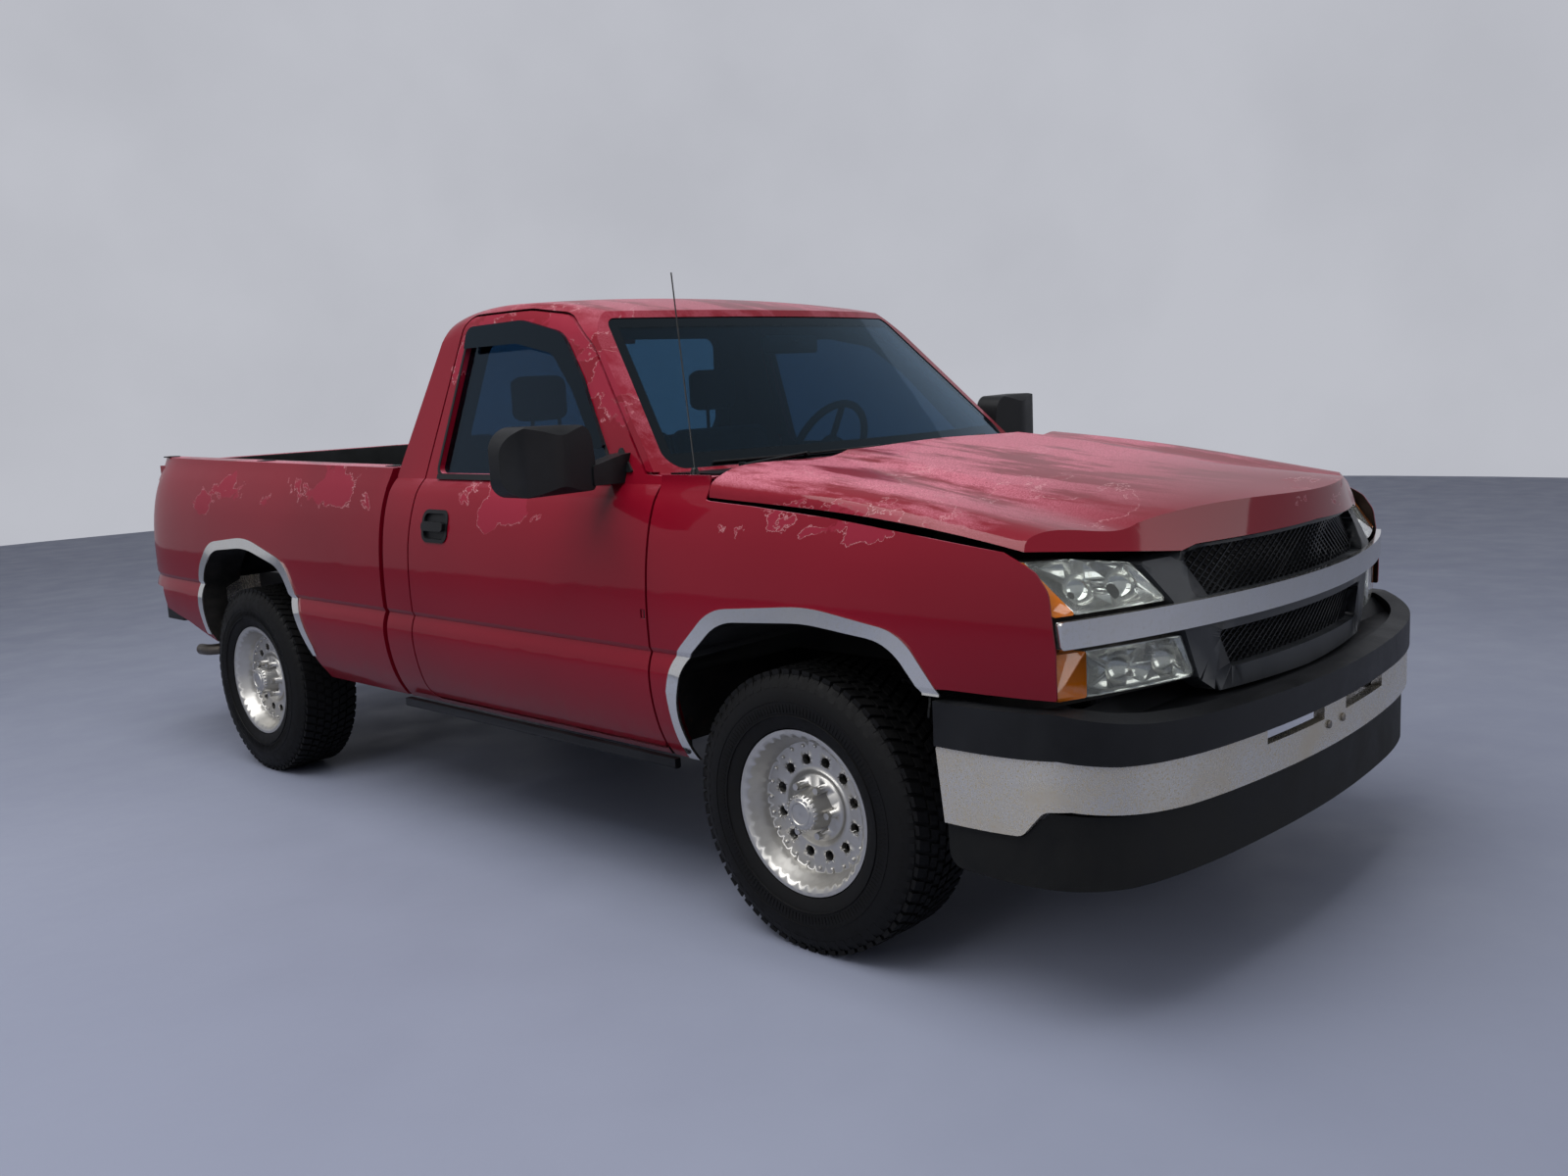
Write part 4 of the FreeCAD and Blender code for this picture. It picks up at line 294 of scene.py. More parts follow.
def windshield_ink(add, place):
    """The ceramic band: one near the edge of the windshield, nought in its middle and on the rear window."""
    across, along, height = (add("SeparateXYZ", (place,), axis) for axis in range(3))
    sideways = add("Math", (across,), operation="ABSOLUTE")
    side = add("Math", (height, 0.372, sideways), operation="MULTIPLY_ADD")
    flank = add("MapRange", (side, 1.282, 1.286))
    foot = add("MapRange", (height, 1.302, 1.298))
    head = add("MapRange", (height, 1.678, 1.682))
    rim = add("Math", (add("Math", (flank, foot), operation="MAXIMUM"), head), operation="MAXIMUM")
    in_front = add("Math", (along, -0.2), operation="LESS_THAN")
    return add("Math", (rim, in_front), operation="MULTIPLY")


def tail_lens(add, place):
    """Red moulded acrylic with a clear reversing band and fine ribs."""
    height = add("SeparateXYZ", (place,), 2)
    over_foot = add("MapRange", (height, 0.945, 0.948))
    under_head = add("MapRange", (height, 1.018, 1.015))
    band = add("Math", (over_foot, under_head), operation="MULTIPLY")
    ribs = add("TexWave", threads(place, 7.85), "Fac", bands_direction="Z")
    return add("BsdfPrincipled", {
        "Base Color": add("Mix", {0: band, 6: "#8F0D12", 7: "#C9CBC8"}, 2, data_type="RGBA"),
        "Roughness": add("MapRange", (add("TexNoise", clouds(place, 33.3)), 0.4, 0.7, 0.08, 0.2)),
        "Coat Weight": 0.8, "Coat Roughness": 0.03,
        "Normal": add("Bump", {"Height": ribs, "Strength": 0.3, "Distance": 0.001})})


def coloured_lens(add, place, code, rough=0.08, through=0.75):
    """Moulded polycarbonate, coloured through and a little hazed, so that it glows at its edges."""
    haze = add("MapRange", (add("TexNoise", clouds(place, 55.6, 5.0, 0.6)), 0.45, 0.8, 0.0, 0.25))
    return add("BsdfPrincipled", {
        "Base Color": add("Mix", {0: haze, 6: code, 7: "#C9B9A4"}, 2, data_type="RGBA"),
        "Roughness": add("Math", (haze, rough), operation="ADD"), "Transmission Weight": through, "IOR": 1.3,
        "Coat Weight": 0.6, "Coat Roughness": 0.04})


def clear_lens(add, place):
    """Clear polycarbonate, slightly hazed by the sun, so that the bowls behind it stay sharp."""
    haze = add("MapRange", (add("TexNoise", clouds(place, 83.3, 5.0, 0.6)), 0.40, 0.80, 0.01, 0.08))
    clear = add("BsdfTransparent", {"Color": "#F1F3F2"})
    gloss = add("BsdfPrincipled", {
        "Base Color": "#D8DAD6", "Roughness": 0.06, "Coat Weight": 1.0, "Coat Roughness": 0.03})
    share = add("Math", (mirror_share(add), haze), operation="ADD")
    return add("MixShader", (share, clear, gloss))


def woven_cloth(add, place):
    """Woven polyester seat cloth, dull and ribbed by threads 2 mm apart, coarser than real ones to show."""
    warp = add("TexWave", threads(place, 1.96, 0.6), "Fac", bands_direction="X")
    weft = add("TexWave", threads(place, 1.96, 0.6), "Fac", bands_direction="Z")
    thread = add("Math", (warp, weft), operation="MULTIPLY")
    wear = add("MapRange", (add("TexNoise", clouds(place, 167)), 0.35, 0.7, 0.0, 0.3))
    colour = add("Mix", {0: thread, 6: "#2C2D30", 7: "#4A4B4F"}, 2, data_type="RGBA")
    return add("BsdfPrincipled", {
        "Base Color": add("Mix", {0: wear, 6: colour, 7: "#5B5853"}, 2, data_type="RGBA"),
        "Roughness": 0.9, "Sheen Weight": 0.3,
        "Normal": add("Bump", {"Height": thread, "Strength": 0.4, "Distance": 0.001})})


def coated_steel(add, place, dark, light, rough, metal=0.4):
    """Chassis steel: uneven and dull, with dirt in clouds and rust in spots."""
    dirt = add("MapRange", (add("TexNoise", clouds(place, 91, 7.0, 0.68, 0.3)), 0.38, 0.70))
    rust = add("MapRange", (add("TexNoise", clouds(place, 33.3, 6.0, 0.7)), 0.60, 0.72, 0.0, 0.5))
    colour = add("Mix", {0: dirt, 6: dark, 7: light}, 2, data_type="RGBA")
    scale = add("TexNoise", clouds(place, 8.33))
    return add("BsdfPrincipled", {
        "Base Color": add("Mix", {0: rust, 6: colour, 7: "#4B3225"}, 2, data_type="RGBA"),
        "Metallic": metal, "Roughness": add("MapRange", (dirt, 0.0, 1.0, rough, rough + 0.25)),
        "Normal": add("Bump", {"Height": scale, "Strength": 0.2, "Distance": 0.0008})})


def stage_plaster(add, place, code, cloud_code, glow=False):
    """Plain pale plaster with faint clouds, which shows its own tone where it glows."""
    cloud = add("MapRange", (add("TexNoise", clouds(place, 2860, 5.0, 0.5)), 0.35, 0.7))
    colour = add("Mix", {0: cloud, 6: code, 7: cloud_code}, 2, data_type="RGBA")
    polish = add("MapRange", (add("TexNoise", clouds(place, 333, 8.0, 0.6)), 0.3, 0.7, 0.5, 0.7))
    shader = add("BsdfPrincipled", {"Base Color": colour, "Roughness": polish})
    if glow:
        seen = 0.0
        for ray in ("Is Camera Ray", "Is Glossy Ray", "Is Transmission Ray"):
            seen = add("Math", (seen, add("LightPath", output=ray)), operation="MAXIMUM")
        own = add("Emission", {"Color": colour, "Strength": 1.0})
        shader = add("MixShader", (seen, shader, own))
    return shader


# Each look's real material, what builds it, and that builder's settings
looks = {
    "paint": ("crimson clear-coated steel", crimson_paint),
    "chrome": ("chrome plate", bright_chrome, 0.25),
    "bumper chrome": ("pitted chrome plate", bright_chrome, 0.9, 6.25),
    "reflector": ("vacuum metallised reflector", bright_chrome, 0.3),
    "mirror glass": ("silvered mirror", bright_chrome, 0.0),
    "grained plastic": ("grained black polypropylene", moulded_plastic, "#0F1012", "#1C1D20", 0.46),
    "dirty plastic": ("road-worn polypropylene", moulded_plastic, "#070808", "#1A1A18", 0.6, 2, 0.4),
    "smooth plastic": ("smooth black ABS", moulded_plastic, "#0B0C0D", "#141517", 0.30, 0.83, 0.08),
    "grille plastic": ("charcoal ABS", moulded_plastic, "#2E3033", "#424447", 0.42, 0.83, 0.1),
    "mesh plastic": ("black mesh ABS", moulded_plastic, "#1B1C1F", "#2C2E31", 0.40, 1.11, 0.1),
    "cabin plastic": ("soft grey vinyl", moulded_plastic, "#202123", "#33353A", 0.6, 1.43, 0.35),
    "bed liner": ("black bed liner", moulded_plastic, "#0F1011", "#222426", 0.7, 3.85, 0.5),
    "tank": ("moulded polyethylene", moulded_plastic, "#121213", "#262625", 0.6, 3.33, 0.3),
    "seal": ("window rubber", moulded_plastic, "#0C0D0E", "#18191A", 0.55, 0.67, 0.05),
    "alloy": ("machined aluminium", machined_alloy),
    "rubber": ("carbon black rubber", tyre_rubber),
    "tinted glass": ("tinted float glass", window_glass, "#869CAF"),
    "banded glass": ("banded float glass", window_glass, "#A9C1CF", 0.02, windshield_ink),
    "visor": ("smoked acrylic", window_glass, "#26292C", 0.05),
    "lens": ("hazed polycarbonate", clear_lens),
    "amber": ("amber polycarbonate", coloured_lens, "#D8750F", 0.08, 0.3),
    "red lens": ("red polycarbonate", coloured_lens, "#9E0F14"),
    "tail lens": ("red and clear acrylic", tail_lens),
    "cloth": ("woven polyester", woven_cloth),
    "chassis": ("waxed chassis steel", coated_steel, "#121212", "#2D2A27", 0.5),
    "iron": ("cast iron", coated_steel, "#24221F", "#3B3631", 0.6, 0.6),
    "steel": ("turned steel", coated_steel, "#6A6661", "#857F77", 0.35, 0.9),
    "exhaust": ("aluminised steel", coated_steel, "#5A554E", "#77706A", 0.4, 0.9),
}
made = {}


def look(name):
    """The material of that look, made when it is first asked for."""
    if name not in made:
        made[name] = new_material(*looks[name])
    return made[name]


# Pieces


weld_gap = 0.00002
ring_weld_gap = 0.00005
halvings = 6

# Even shading: the samples' cells, how finely their directions are told apart, the largest area of a
# sliver, the least weight of a face, and the share that a corner's own faces have in its shading
sample_cell = 0.010
facing_steps = 1.6
sliver_area = 2e-7
least_weight = 1e-9
own_share = 0.1
nought = 1e-12


def give(piece, *names):
    """Takes a piece's materials off and gives it the named ones."""
    piece.data.materials.clear()
    for name in names:
        piece.data.materials.append(look(name))


def place_on(piece, body):
    """Lets a piece ride on a body."""
    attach(piece, body)
    return piece


def open_mesh(piece):
    """Opens a piece's mesh with all of it selected."""
    pick_up(piece)
    bpy.ops.object.mode_set(mode="EDIT")
    bpy.ops.mesh.select_all(action="SELECT")


def new_piece(name, mesh):
    """Puts a mesh or a camera into the scene."""
    piece = bpy.data.objects.new(name, mesh)
    bpy.context.scene.collection.objects.link(piece)
    return piece


def smooth_copy(node, name, finish, angle=28):
    """A merged, smooth-shaded copy of a CAD node that stands for it."""
    source = frame["nodes"][node]
    piece = new_piece(name, source.data.copy())
    open_mesh(piece)
    bpy.ops.mesh.remove_doubles(threshold=weld_gap)
    bpy.ops.object.mode_set(mode="OBJECT")
    bpy.ops.object.shade_smooth_by_angle(angle=math.radians(angle))
    give(piece, *finish)
    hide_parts(node)
    return place_on(piece, source["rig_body"])


def fit_out(piece, finish, body):
    """Gives a piece that stands for no CAD node its material and its body."""
    give(piece, finish)
    place_on(piece, body)


def cut_long_edges(piece, longest):
    """Halves the edges that are longer than that, until none is left."""
    mesh = piece.data
    for _ in range(halvings):
        ends = numpy.empty(len(mesh.edges) * 2, dtype=numpy.int32)
        mesh.edges.foreach_get("vertices", ends)
        points = numpy.empty(len(mesh.vertices) * 3)
        mesh.vertices.foreach_get("co", points)
        points = points.reshape(-1, 3)
        runs = numpy.linalg.norm(points[ends[0::2]] - points[ends[1::2]], axis=1)
        long = runs > longest
        if not long.any():
            break
        pick_up(piece)
        bpy.ops.object.mode_set(mode="EDIT")
        bpy.ops.mesh.select_mode(type="EDGE")
        bpy.ops.mesh.select_all(action="DESELECT")
        bpy.ops.object.mode_set(mode="OBJECT")
        mesh.edges.foreach_set("select", long)
        bpy.ops.object.mode_set(mode="EDIT")
        bpy.ops.mesh.subdivide(number_cuts=1, ngon=False)
        bpy.ops.object.mode_set(mode="OBJECT")


def surface_samples(mesh, cell):
    """Mean place, direction and area of the surface in each small cell, apart for each way that it faces."""
    count = len(mesh.polygons)
    centres = numpy.empty(count * 3)
    normals = numpy.empty(count * 3)
    areas = numpy.empty(count)
    mesh.polygons.foreach_get("center", centres)
    mesh.polygons.foreach_get("normal", normals)
    mesh.polygons.foreach_get("area", areas)
    centres = centres.reshape(-1, 3)
    normals = normals.reshape(-1, 3)
    keys = numpy.hstack([numpy.floor(centres / cell), numpy.round(normals * facing_steps)])
    keys = keys.astype(numpy.int64)
    _, groups = numpy.unique(keys, axis=0, return_inverse=True)
    groups = groups.reshape(-1)
    weights = numpy.bincount(groups, areas)
    place = numpy.stack([numpy.bincount(groups, areas * centres[:, i]) for i in range(3)], axis=1)
    facing = numpy.stack([numpy.bincount(groups, areas * normals[:, i]) for i in range(3)], axis=1)
    return place / numpy.maximum(weights, nought)[:, None], facing, normals, areas


def likeness(total, normal):
    """Cosine of the angle between a sum of normals and one normal."""
    return total @ normal / (numpy.linalg.norm(total) + nought)


def smooth_groups(around, normals, limit):
    """Parts the faces round one point where it has a crease: the sum of their normals, and their corners."""
    groups = []
    for area, face, loop in sorted(around, reverse=True):
        normal = normals[face]
        best = max(groups, key=lambda group: likeness(group[0], normal), default=None)
        if best is not None and best[0] @ normal > limit * numpy.linalg.norm(best[0]):
            best[0] += normal * area
            best[1].append(loop)
        elif best is not None and area < sliver_area:
            best[1].append(loop)
        else:
            groups.append([normal * (area + least_weight), [loop]])
    return groups


def even_shading(piece, reach, crease):
    """Shades a panel by the mean direction of the surface round each corner, to hide long triangles."""
    mesh = piece.data
    places, facings, normals, areas = surface_samples(mesh, sample_cell)
    sizes = numpy.linalg.norm(facings, axis=1)
    units = facings / numpy.maximum(sizes, nought)[:, None]
    tree = KDTree(len(places))
    for index, place in enumerate(places):
        tree.insert(place, index)
    tree.balance()
    limit = math.cos(math.radians(crease))
    corners = [[] for _ in mesh.vertices]
    for face in mesh.polygons:
        for loop in face.loop_indices:
            corners[mesh.loops[loop].vertex_index].append((areas[face.index], face.index, loop))
    result = numpy.zeros((len(mesh.loops), 3))
    for vertex, around in zip(mesh.vertices, corners):
        near = tree.find_range(vertex.co, reach)
        index = numpy.array([item[1] for item in near], dtype=numpy.int64)
        fade = (1 - (numpy.array([item[2] for item in near]) / reach) ** 2) ** 2
        for total, loops in smooth_groups(around, normals, limit):
            own = total / (numpy.linalg.norm(total) + nought)
            if len(index):
                alike = (units[index] @ own) > limit
                total = total * own_share + (facings[index] * (fade * alike)[:, None]).sum(axis=0)
            size = numpy.linalg.norm(total)
            result[loops] = total / size if size > nought else own
    mesh.normals_split_custom_set(result.tolist())


def even_copy(node, name, finish, longest=0.07, reach=0.034, crease=24, rounding=0.0, cuts=()):
    """A curved panel's copy with even shading, and with its edges rounded and its faces cut where asked."""
    piece = smooth_copy(node, name, finish, angle=60)
    for across in cuts:
        open_mesh(piece)
        bpy.ops.mesh.bisect(plane_co=(across, 0, 0), plane_no=(1, 0, 0))
        bpy.ops.object.mode_set(mode="OBJECT")
    if rounding:
        shape(piece, "BEVEL", width=rounding, segments=4, limit_method="ANGLE", angle_limit=math.radians(55))
    cut_long_edges(piece, longest)
    even_shading(piece, reach, crease)
    return piece


def paint_faces(piece, index, test):
    """Gives the faces whose centre and normal pass the test another material."""
    for face in piece.data.polygons:
        if test(face.center, face.normal):
            face.material_index = index


def settle(piece):
    """Moves a piece's place into its mesh."""
    pick_up(piece)
    bpy.ops.object.transform_apply(location=True, rotation=True, scale=True)


def shape(piece, kind, **settings):
    """Adds a modifier with its settings to the active piece and applies it."""
    modifier = piece.modifiers.new(kind.lower(), kind)
    for key, value in settings.items():
        setattr(modifier, key, value)
    bpy.ops.object.modifier_apply(modifier=modifier.name)


def add_box(name, low, high, soft=0.0, steps=2):
    """A block between two corners with its edges rounded."""
    put_down()
    centre = [(a + b) / 2 for a, b in zip(low, high)]
    bpy.ops.mesh.primitive_cube_add(size=1, location=centre)
    piece = bpy.context.object
    piece.name = name
    piece.scale = [b - a for a, b in zip(low, high)]
    settle(piece)
    if soft:
        shape(piece, "BEVEL", width=soft, segments=steps)
        bpy.ops.object.shade_smooth_by_angle(angle=math.radians(40))
    return piece


def join(name, pieces):
    """Makes one piece of several and names it."""
    pick_up(*pieces)
    if len(pieces) > 1:
        bpy.ops.object.join()
    piece = bpy.context.object
    piece.name = name
    return piece


def spun_ring(name, profile, steps):
    """A profile of (across, radius) points spun round the X axis and closed."""
    mesh = bpy.data.meshes.new(name)
    count = len(profile)
    mesh.from_pydata([(x, 0.0, r) for x, r in profile], [(i, (i + 1) % count) for i in range(count)], [])
    piece = new_piece(name, mesh)
    open_mesh(piece)
    bpy.ops.mesh.spin(steps=steps, angle=2 * math.pi, center=(0, 0, 0), axis=(1, 0, 0))
    bpy.ops.mesh.select_all(action="SELECT")
    bpy.ops.mesh.remove_doubles(threshold=ring_weld_gap)
    bpy.ops.mesh.normals_make_consistent(inside=False)
    bpy.ops.object.mode_set(mode="OBJECT")
    bpy.ops.object.shade_smooth_by_angle(angle=math.radians(35))
    return piece


def ring_of(piece, count):
    """Repeats a piece evenly round the X axis."""
    put_down()
    bpy.ops.object.empty_add(location=(0, 0, 0), rotation=(2 * math.pi / count, 0, 0))
    turn = bpy.context.object
    pick_up(piece)
    shape(piece, "ARRAY", count=count, use_relative_offset=False, use_object_offset=True, offset_object=turn)
    bpy.data.objects.remove(turn)
    return piece


# Stage


floor_width = 60
wall_middle = 1.0
wall_radius = 13.0
wall_height = 9.0
wall_steps = 64

# Each lamp's place, what it points at, its width and its share of the overhead lamp's power
lamps = {
    "overhead lamp": ((-3.0, -0.5, 7.0), (-0.6, -0.5, 0.8), 7.0, 1.0),
    "side lamp": ((-9.0, -2.0, 4.5), (0, 0, 0.8), 4.0, 0.20),
    "front lamp": ((2.5, -9.0, 4.0), (0, -1.5, 0.8), 4.0, 0.19),
}

# The photograph's camera: its place, and its turn, dip and roll in degrees
camera_place = (-3.4420, -3.9401, 1.4880)
camera_turn = 46.411
camera_dip = 8.575
camera_roll = -2.702
camera_lens = 31.2255
sensor_width = 36


def add_wall():
    """A plain wall all round the truck and the camera."""
    points = []
    for height in (0.0, wall_height):
        for step in range(wall_steps + 1):
            turn = 2 * math.pi * step / wall_steps
            points.append((wall_radius * math.cos(turn) + wall_middle,
                           wall_radius * math.sin(turn) + wall_middle, height))
    count = wall_steps + 1
    mesh = bpy.data.meshes.new("studio_wall")
    mesh.from_pydata(points, [], [(i, i + 1, count + i + 1, count + i) for i in range(wall_steps)])
    wall = new_piece("studio_wall", mesh)
    pick_up(wall)
    bpy.ops.object.shade_smooth()
    return wall


def add_camera(scene):
    """The camera at the photograph's view."""
    data = bpy.data.cameras.new("camera")
    camera = new_piece("camera", data)
    data.sensor_width = sensor_width
    data.lens = camera_lens
    data.clip_end = 200
    turn, dip, roll = (math.radians(angle) for angle in (camera_turn, camera_dip, camera_roll))
    ahead = Vector((math.sin(turn) * math.cos(dip), math.cos(turn) * math.cos(dip), -math.sin(dip)))
    level = ahead.cross(Vector((0, 0, 1))).normalized()
    upright = level.cross(ahead)
    right = level * math.cos(roll) + upright * math.sin(roll)
    top = upright * math.cos(roll) - level * math.sin(roll)
    facing = Matrix((right, top, -ahead)).transposed().to_4x4()
    camera.matrix_world = Matrix.Translation(camera_place) @ facing
    scene.camera = camera


class PICKUP_OT_stage(bpy.types.Operator):
    """Pale floor and wall, soft lamps and the camera at the photograph's view"""
    bl_idname = "pickup.stage"
    bl_label = "Stage"

    def execute(self, context):
        settings = context.scene.pickup_stage
        put_down()
        bpy.ops.mesh.primitive_plane_add(size=floor_width, location=(0, 0, 0))
        floor = context.object
        floor.name = "studio_floor"
        settle(floor)
        floor.data.materials.append(new_material(
            "pale studio floor", stage_plaster, settings.floor_colour, "#8B90A2"))

        wall = add_wall()
        wall.data.materials.append(new_material(
            "pale studio wall", stage_plaster, "#BDBFC7", "#B6B8C0", True))

        for name, (place, target, width, share) in lamps.items():
            put_down()
            bpy.ops.object.light_add(type="AREA", location=place)
            lamp = context.object
            lamp.name = name
            lamp.data.size = width
            lamp.data.energy = settings.lamp_power * share
            lamp.rotation_euler = (Vector(target) - Vector(place)).to_track_quat("-Z", "Y").to_euler()
        world = bpy.data.worlds.new("studio air")
        context.scene.world = world
        world.use_nodes = True
        world.node_tree.nodes.clear()
        air = add_node(world.node_tree, "Background", {"Color": "#DDE1E8", "Strength": 0.45})
        add_node(world.node_tree, "OutputWorld", {"Surface": air})
        add_camera(context.scene)
        context.scene.view_settings.view_transform = "Standard"
        return {"FINISHED"}


# Painted body


# The windshield's outside: its foot on the truck's middle, and how it leans and bows
windshield_foot_y = -1.210
windshield_foot_z = 1.240
windshield_lean = 1.08
windshield_bow = 0.170
windshield_half_width = 0.870
windshield_facing = Vector((0, -0.68, 0.73))
pillar_depth = 0.052

# Window openings: height of foot and head, half width at the foot, and what that loses for each metre up
front_opening = (1.256, 1.714, 0.84873, 0.3656)
rear_opening = (1.295, 1.685, 0.64641, 0.2073)

# The cab's inside
cab_middle_y = -0.42
cab_floor = 0.555
cab_waist = 1.205
headlining = 1.768
firewall_y = -1.13
cab_middle_low = 0.95
cab_middle_high = 1.35
half_width_below_waist = 0.905
half_width_at_waist = 0.872
pillar_lean = 0.34

# Wheel arches
wheel_boxes = [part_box(node) for node in ("tyre_front_right", "tyre_rear_right")]
axle_places = [((low.y + high.y) / 2, (low.z + high.z) / 2) for low, high in wheel_boxes]
arch_reach = 0.66
skirt_top = 0.78


def behind_windshield(centre):
    """How far behind the windshield's outside a point lies, along the truck."""
    bow = windshield_bow * (centre.x / windshield_half_width) ** 2
    return centre.y - windshield_foot_y - (centre.z - windshield_foot_z) * windshield_lean - bow


def faces_cab_middle(centre, normal):
    """Faces that line the cab: inside the pillars and roof, the floor, the firewall and the back wall."""
    middle = Vector((0, cab_middle_y, min(max(centre.z, cab_middle_low), cab_middle_high)))
    if normal.dot((middle - centre).normalized()) < 0.2 or centre.z < cab_floor:
        return False
    half_width = half_width_below_waist
    if centre.z >= cab_waist:
        half_width = half_width_at_waist - pillar_lean * (centre.z - cab_waist)
    under_roof = centre.z < headlining and behind_windshield(centre) > pillar_depth
    return abs(centre.x) < half_width and under_roof and centre.y > firewall_y


def within_opening(centre, opening):
    """Whether a point lies inside a window's outline, seen from the front."""
    foot, head, half_width, taper = opening
    return foot < centre.z < head and abs(centre.x) < half_width - taper * (centre.z - foot)


def rims_window(centre, normal):
    """Faces of the cab that edge the openings of the windshield and the rear window."""
    if centre.y > 0:
        return within_opening(centre, rear_opening)
    across = abs(normal.dot(windshield_facing)) < 0.6
    near_glass = -0.01 < behind_windshield(centre) < pillar_depth
    return across and near_glass and within_opening(centre, front_opening)


def under_cab(centre, normal):
    """Faces below the cab's floor, and the firewall's front."""
    return normal.z < -0.7 and centre.z < 0.56 or normal.y < -0.6 and centre.y < -1.05 and centre.z < 1.2


def faces_inwards(centre, normal):
    """Faces of a side panel that look at the truck's middle."""
    return normal.x * centre.x < 0 and abs(normal.x) > 0.35


def lines_wheel_arch(centre, normal):
    """Faces of a panel that look at a wheel or in under the truck."""
    if faces_inwards(centre, normal) and centre.z < skirt_top:
        return True
    for axle_y, axle_z in axle_places:
        away = Vector((0, axle_y - centre.y, axle_z - centre.z))
        if away.length < arch_reach and normal.dot(away.normalized()) > 0.35 and abs(normal.x) < 0.75:
            return True
    return False


class PICKUP_OT_painted_body(bpy.types.Operator):
    """Cab, fenders, hood, bed sides, tailgate, doors and fuel door in crimson paint"""
    bl_idname = "pickup.painted_body"
    bl_label = "Painted body"

    def execute(self, context):
        cab = even_copy("cab_shell", "cab_body", ("paint", "cabin plastic", "chassis", "seal"))
        paint_faces(cab, 1, faces_cab_middle)
        paint_faces(cab, 2, under_cab)
        paint_faces(cab, 3, rims_window)
        for side in ("right", "left"):
            fender = even_copy("fender_" + side, side + "_fender_panel", ("paint", "chassis"))
            paint_faces(fender, 1, lambda c, n: faces_inwards(c, n) and c.z < 1.15 or lines_wheel_arch(c, n))
            bed = even_copy("bedside_" + side, side + "_bed_panel", ("paint", "bed liner", "chassis"))
            paint_faces(bed, 1, lambda c, n: faces_inwards(c, n) or abs(c.x) < 0.827 and c.z < 1.24)
            paint_faces(bed, 2, lines_wheel_arch)
            door = even_copy("door_" + side, side + "_door_panel", ("paint", "cabin plastic"))
            paint_faces(door, 1, lambda c, n: n.x * c.x < 0 and abs(n.x) > 0.5)
        hood = even_copy("hood", "hood_panel", ("paint", "chassis"))
        paint_faces(hood, 1, lambda c, n: n.z < -0.3)
        gate = even_copy("tailgate", "tailgate_panel", ("paint", "bed liner"))
        paint_faces(gate, 1, lambda c, n: n.y < -0.7)
        smooth_copy("fuel_door", "fuel_filler_flap", ("paint",))
        return {"FINISHED"}


# Trims, mouldings, glass, lamps and chassis


# The step pads of the rear bumper lie further out than this
pad_start = 0.80


class PICKUP_OT_bright_trim(bpy.types.Operator):
    """Chrome bumpers, grille bar and wheel arch trims"""
    bl_idname = "pickup.bright_trim"
    bl_label = "Bright trim"

    def execute(self, context):
        even_copy("front_bumper", "chrome_front_bumper", ("bumper chrome",))
        bumper = even_copy("rear_bumper", "chrome_rear_bumper", ("bumper chrome", "grained plastic"),
                           cuts=(-pad_start, pad_start))
        paint_faces(bumper, 1, lambda c, n: abs(c.x) > pad_start or n.z > 0.8)
        even_copy("grille_bar", "chrome_grille_bar", ("chrome",), 0.05, 0.006, 40, rounding=0.0075)
        even_copy("arch_trims", "chrome_arch_trims", ("chrome",))
        return {"FINISHED"}


# The grille's two openings: foot, head and half width; and the top of the air dam
grille_openings = ((0.943, 1.056, 0.515), (0.763, 0.857, 0.43))
air_dam_top = 0.53


def behind_grille(centre, normal):
    """Faces of the mesh in the grille's two openings."""
    return any(foot < centre.z < head and abs(centre.x) < half for foot, head, half in grille_openings)


class PICKUP_OT_plastics(bpy.types.Operator):
    """Black bumper cover, air dam, grille, cowl, liners, mirrors and other mouldings"""
    bl_idname = "pickup.plastics"
    bl_label = "Plastic mouldings"

    def execute(self, context):
        cover = even_copy("bumper_covers", "black_bumper_cover", ("grained plastic", "dirty plastic"))
        paint_faces(cover, 1, lambda c, n: c.z < air_dam_top)
        grille = smooth_copy("grille", "grille_surround", ("grille plastic", "mesh plastic"))
        paint_faces(grille, 1, behind_grille)
        even_copy("cowl_panel", "cowl_tray", ("smooth plastic",))
        for node, name, finish in (
                ("wheel_liners", "inner_fender_liners", "dirty plastic"),
                ("fuel_tank", "fuel_tank_shell", "tank"), ("antenna", "whip_antenna", "smooth plastic"),
                ("rocker_strips", "rocker_strip_pair", "grained plastic")):
            smooth_copy(node, name, (finish,))
        for side in ("right", "left"):
            trim = even_copy("door_fittings_" + side, side + "_door_trim",
                             ("grained plastic", "mirror glass"))
            paint_faces(trim, 1, lambda c, n: n.y > 0.75 and abs(c.x) > 1.02 and c.z > 1.25)
        return {"FINISHED"}


class PICKUP_OT_glass(bpy.types.Operator):
    """Windshield, rear window, door glass and visors"""
    bl_idname = "pickup.glass"
    bl_label = "Glass"

    def execute(self, context):
        even_copy("cab_glass", "windshield_and_rear_glass", ("banded glass",))
        for side in ("right", "left"):
            even_copy("door_glass_" + side, side + "_window_glass", ("tinted glass",))
            even_copy("door_visor_" + side, side + "_window_visor", ("visor",), 0.03)
        return {"FINISHED"}


class PICKUP_OT_lamps(bpy.types.Operator):
    """Headlamps and tail lamps"""
    bl_idname = "pickup.lamps"
    bl_label = "Lamps"

    def execute(self, context):
        smooth_copy("headlamps", "headlamp_lenses", ("lens",))
        smooth_copy("lamp_reflectors", "headlamp_reflectors", ("reflector",))
        smooth_copy("signal_lenses", "amber_signal_lenses", ("amber",))
        smooth_copy("tail_lamps", "tail_lamp_lenses", ("tail lens",))
        return {"FINISHED"}


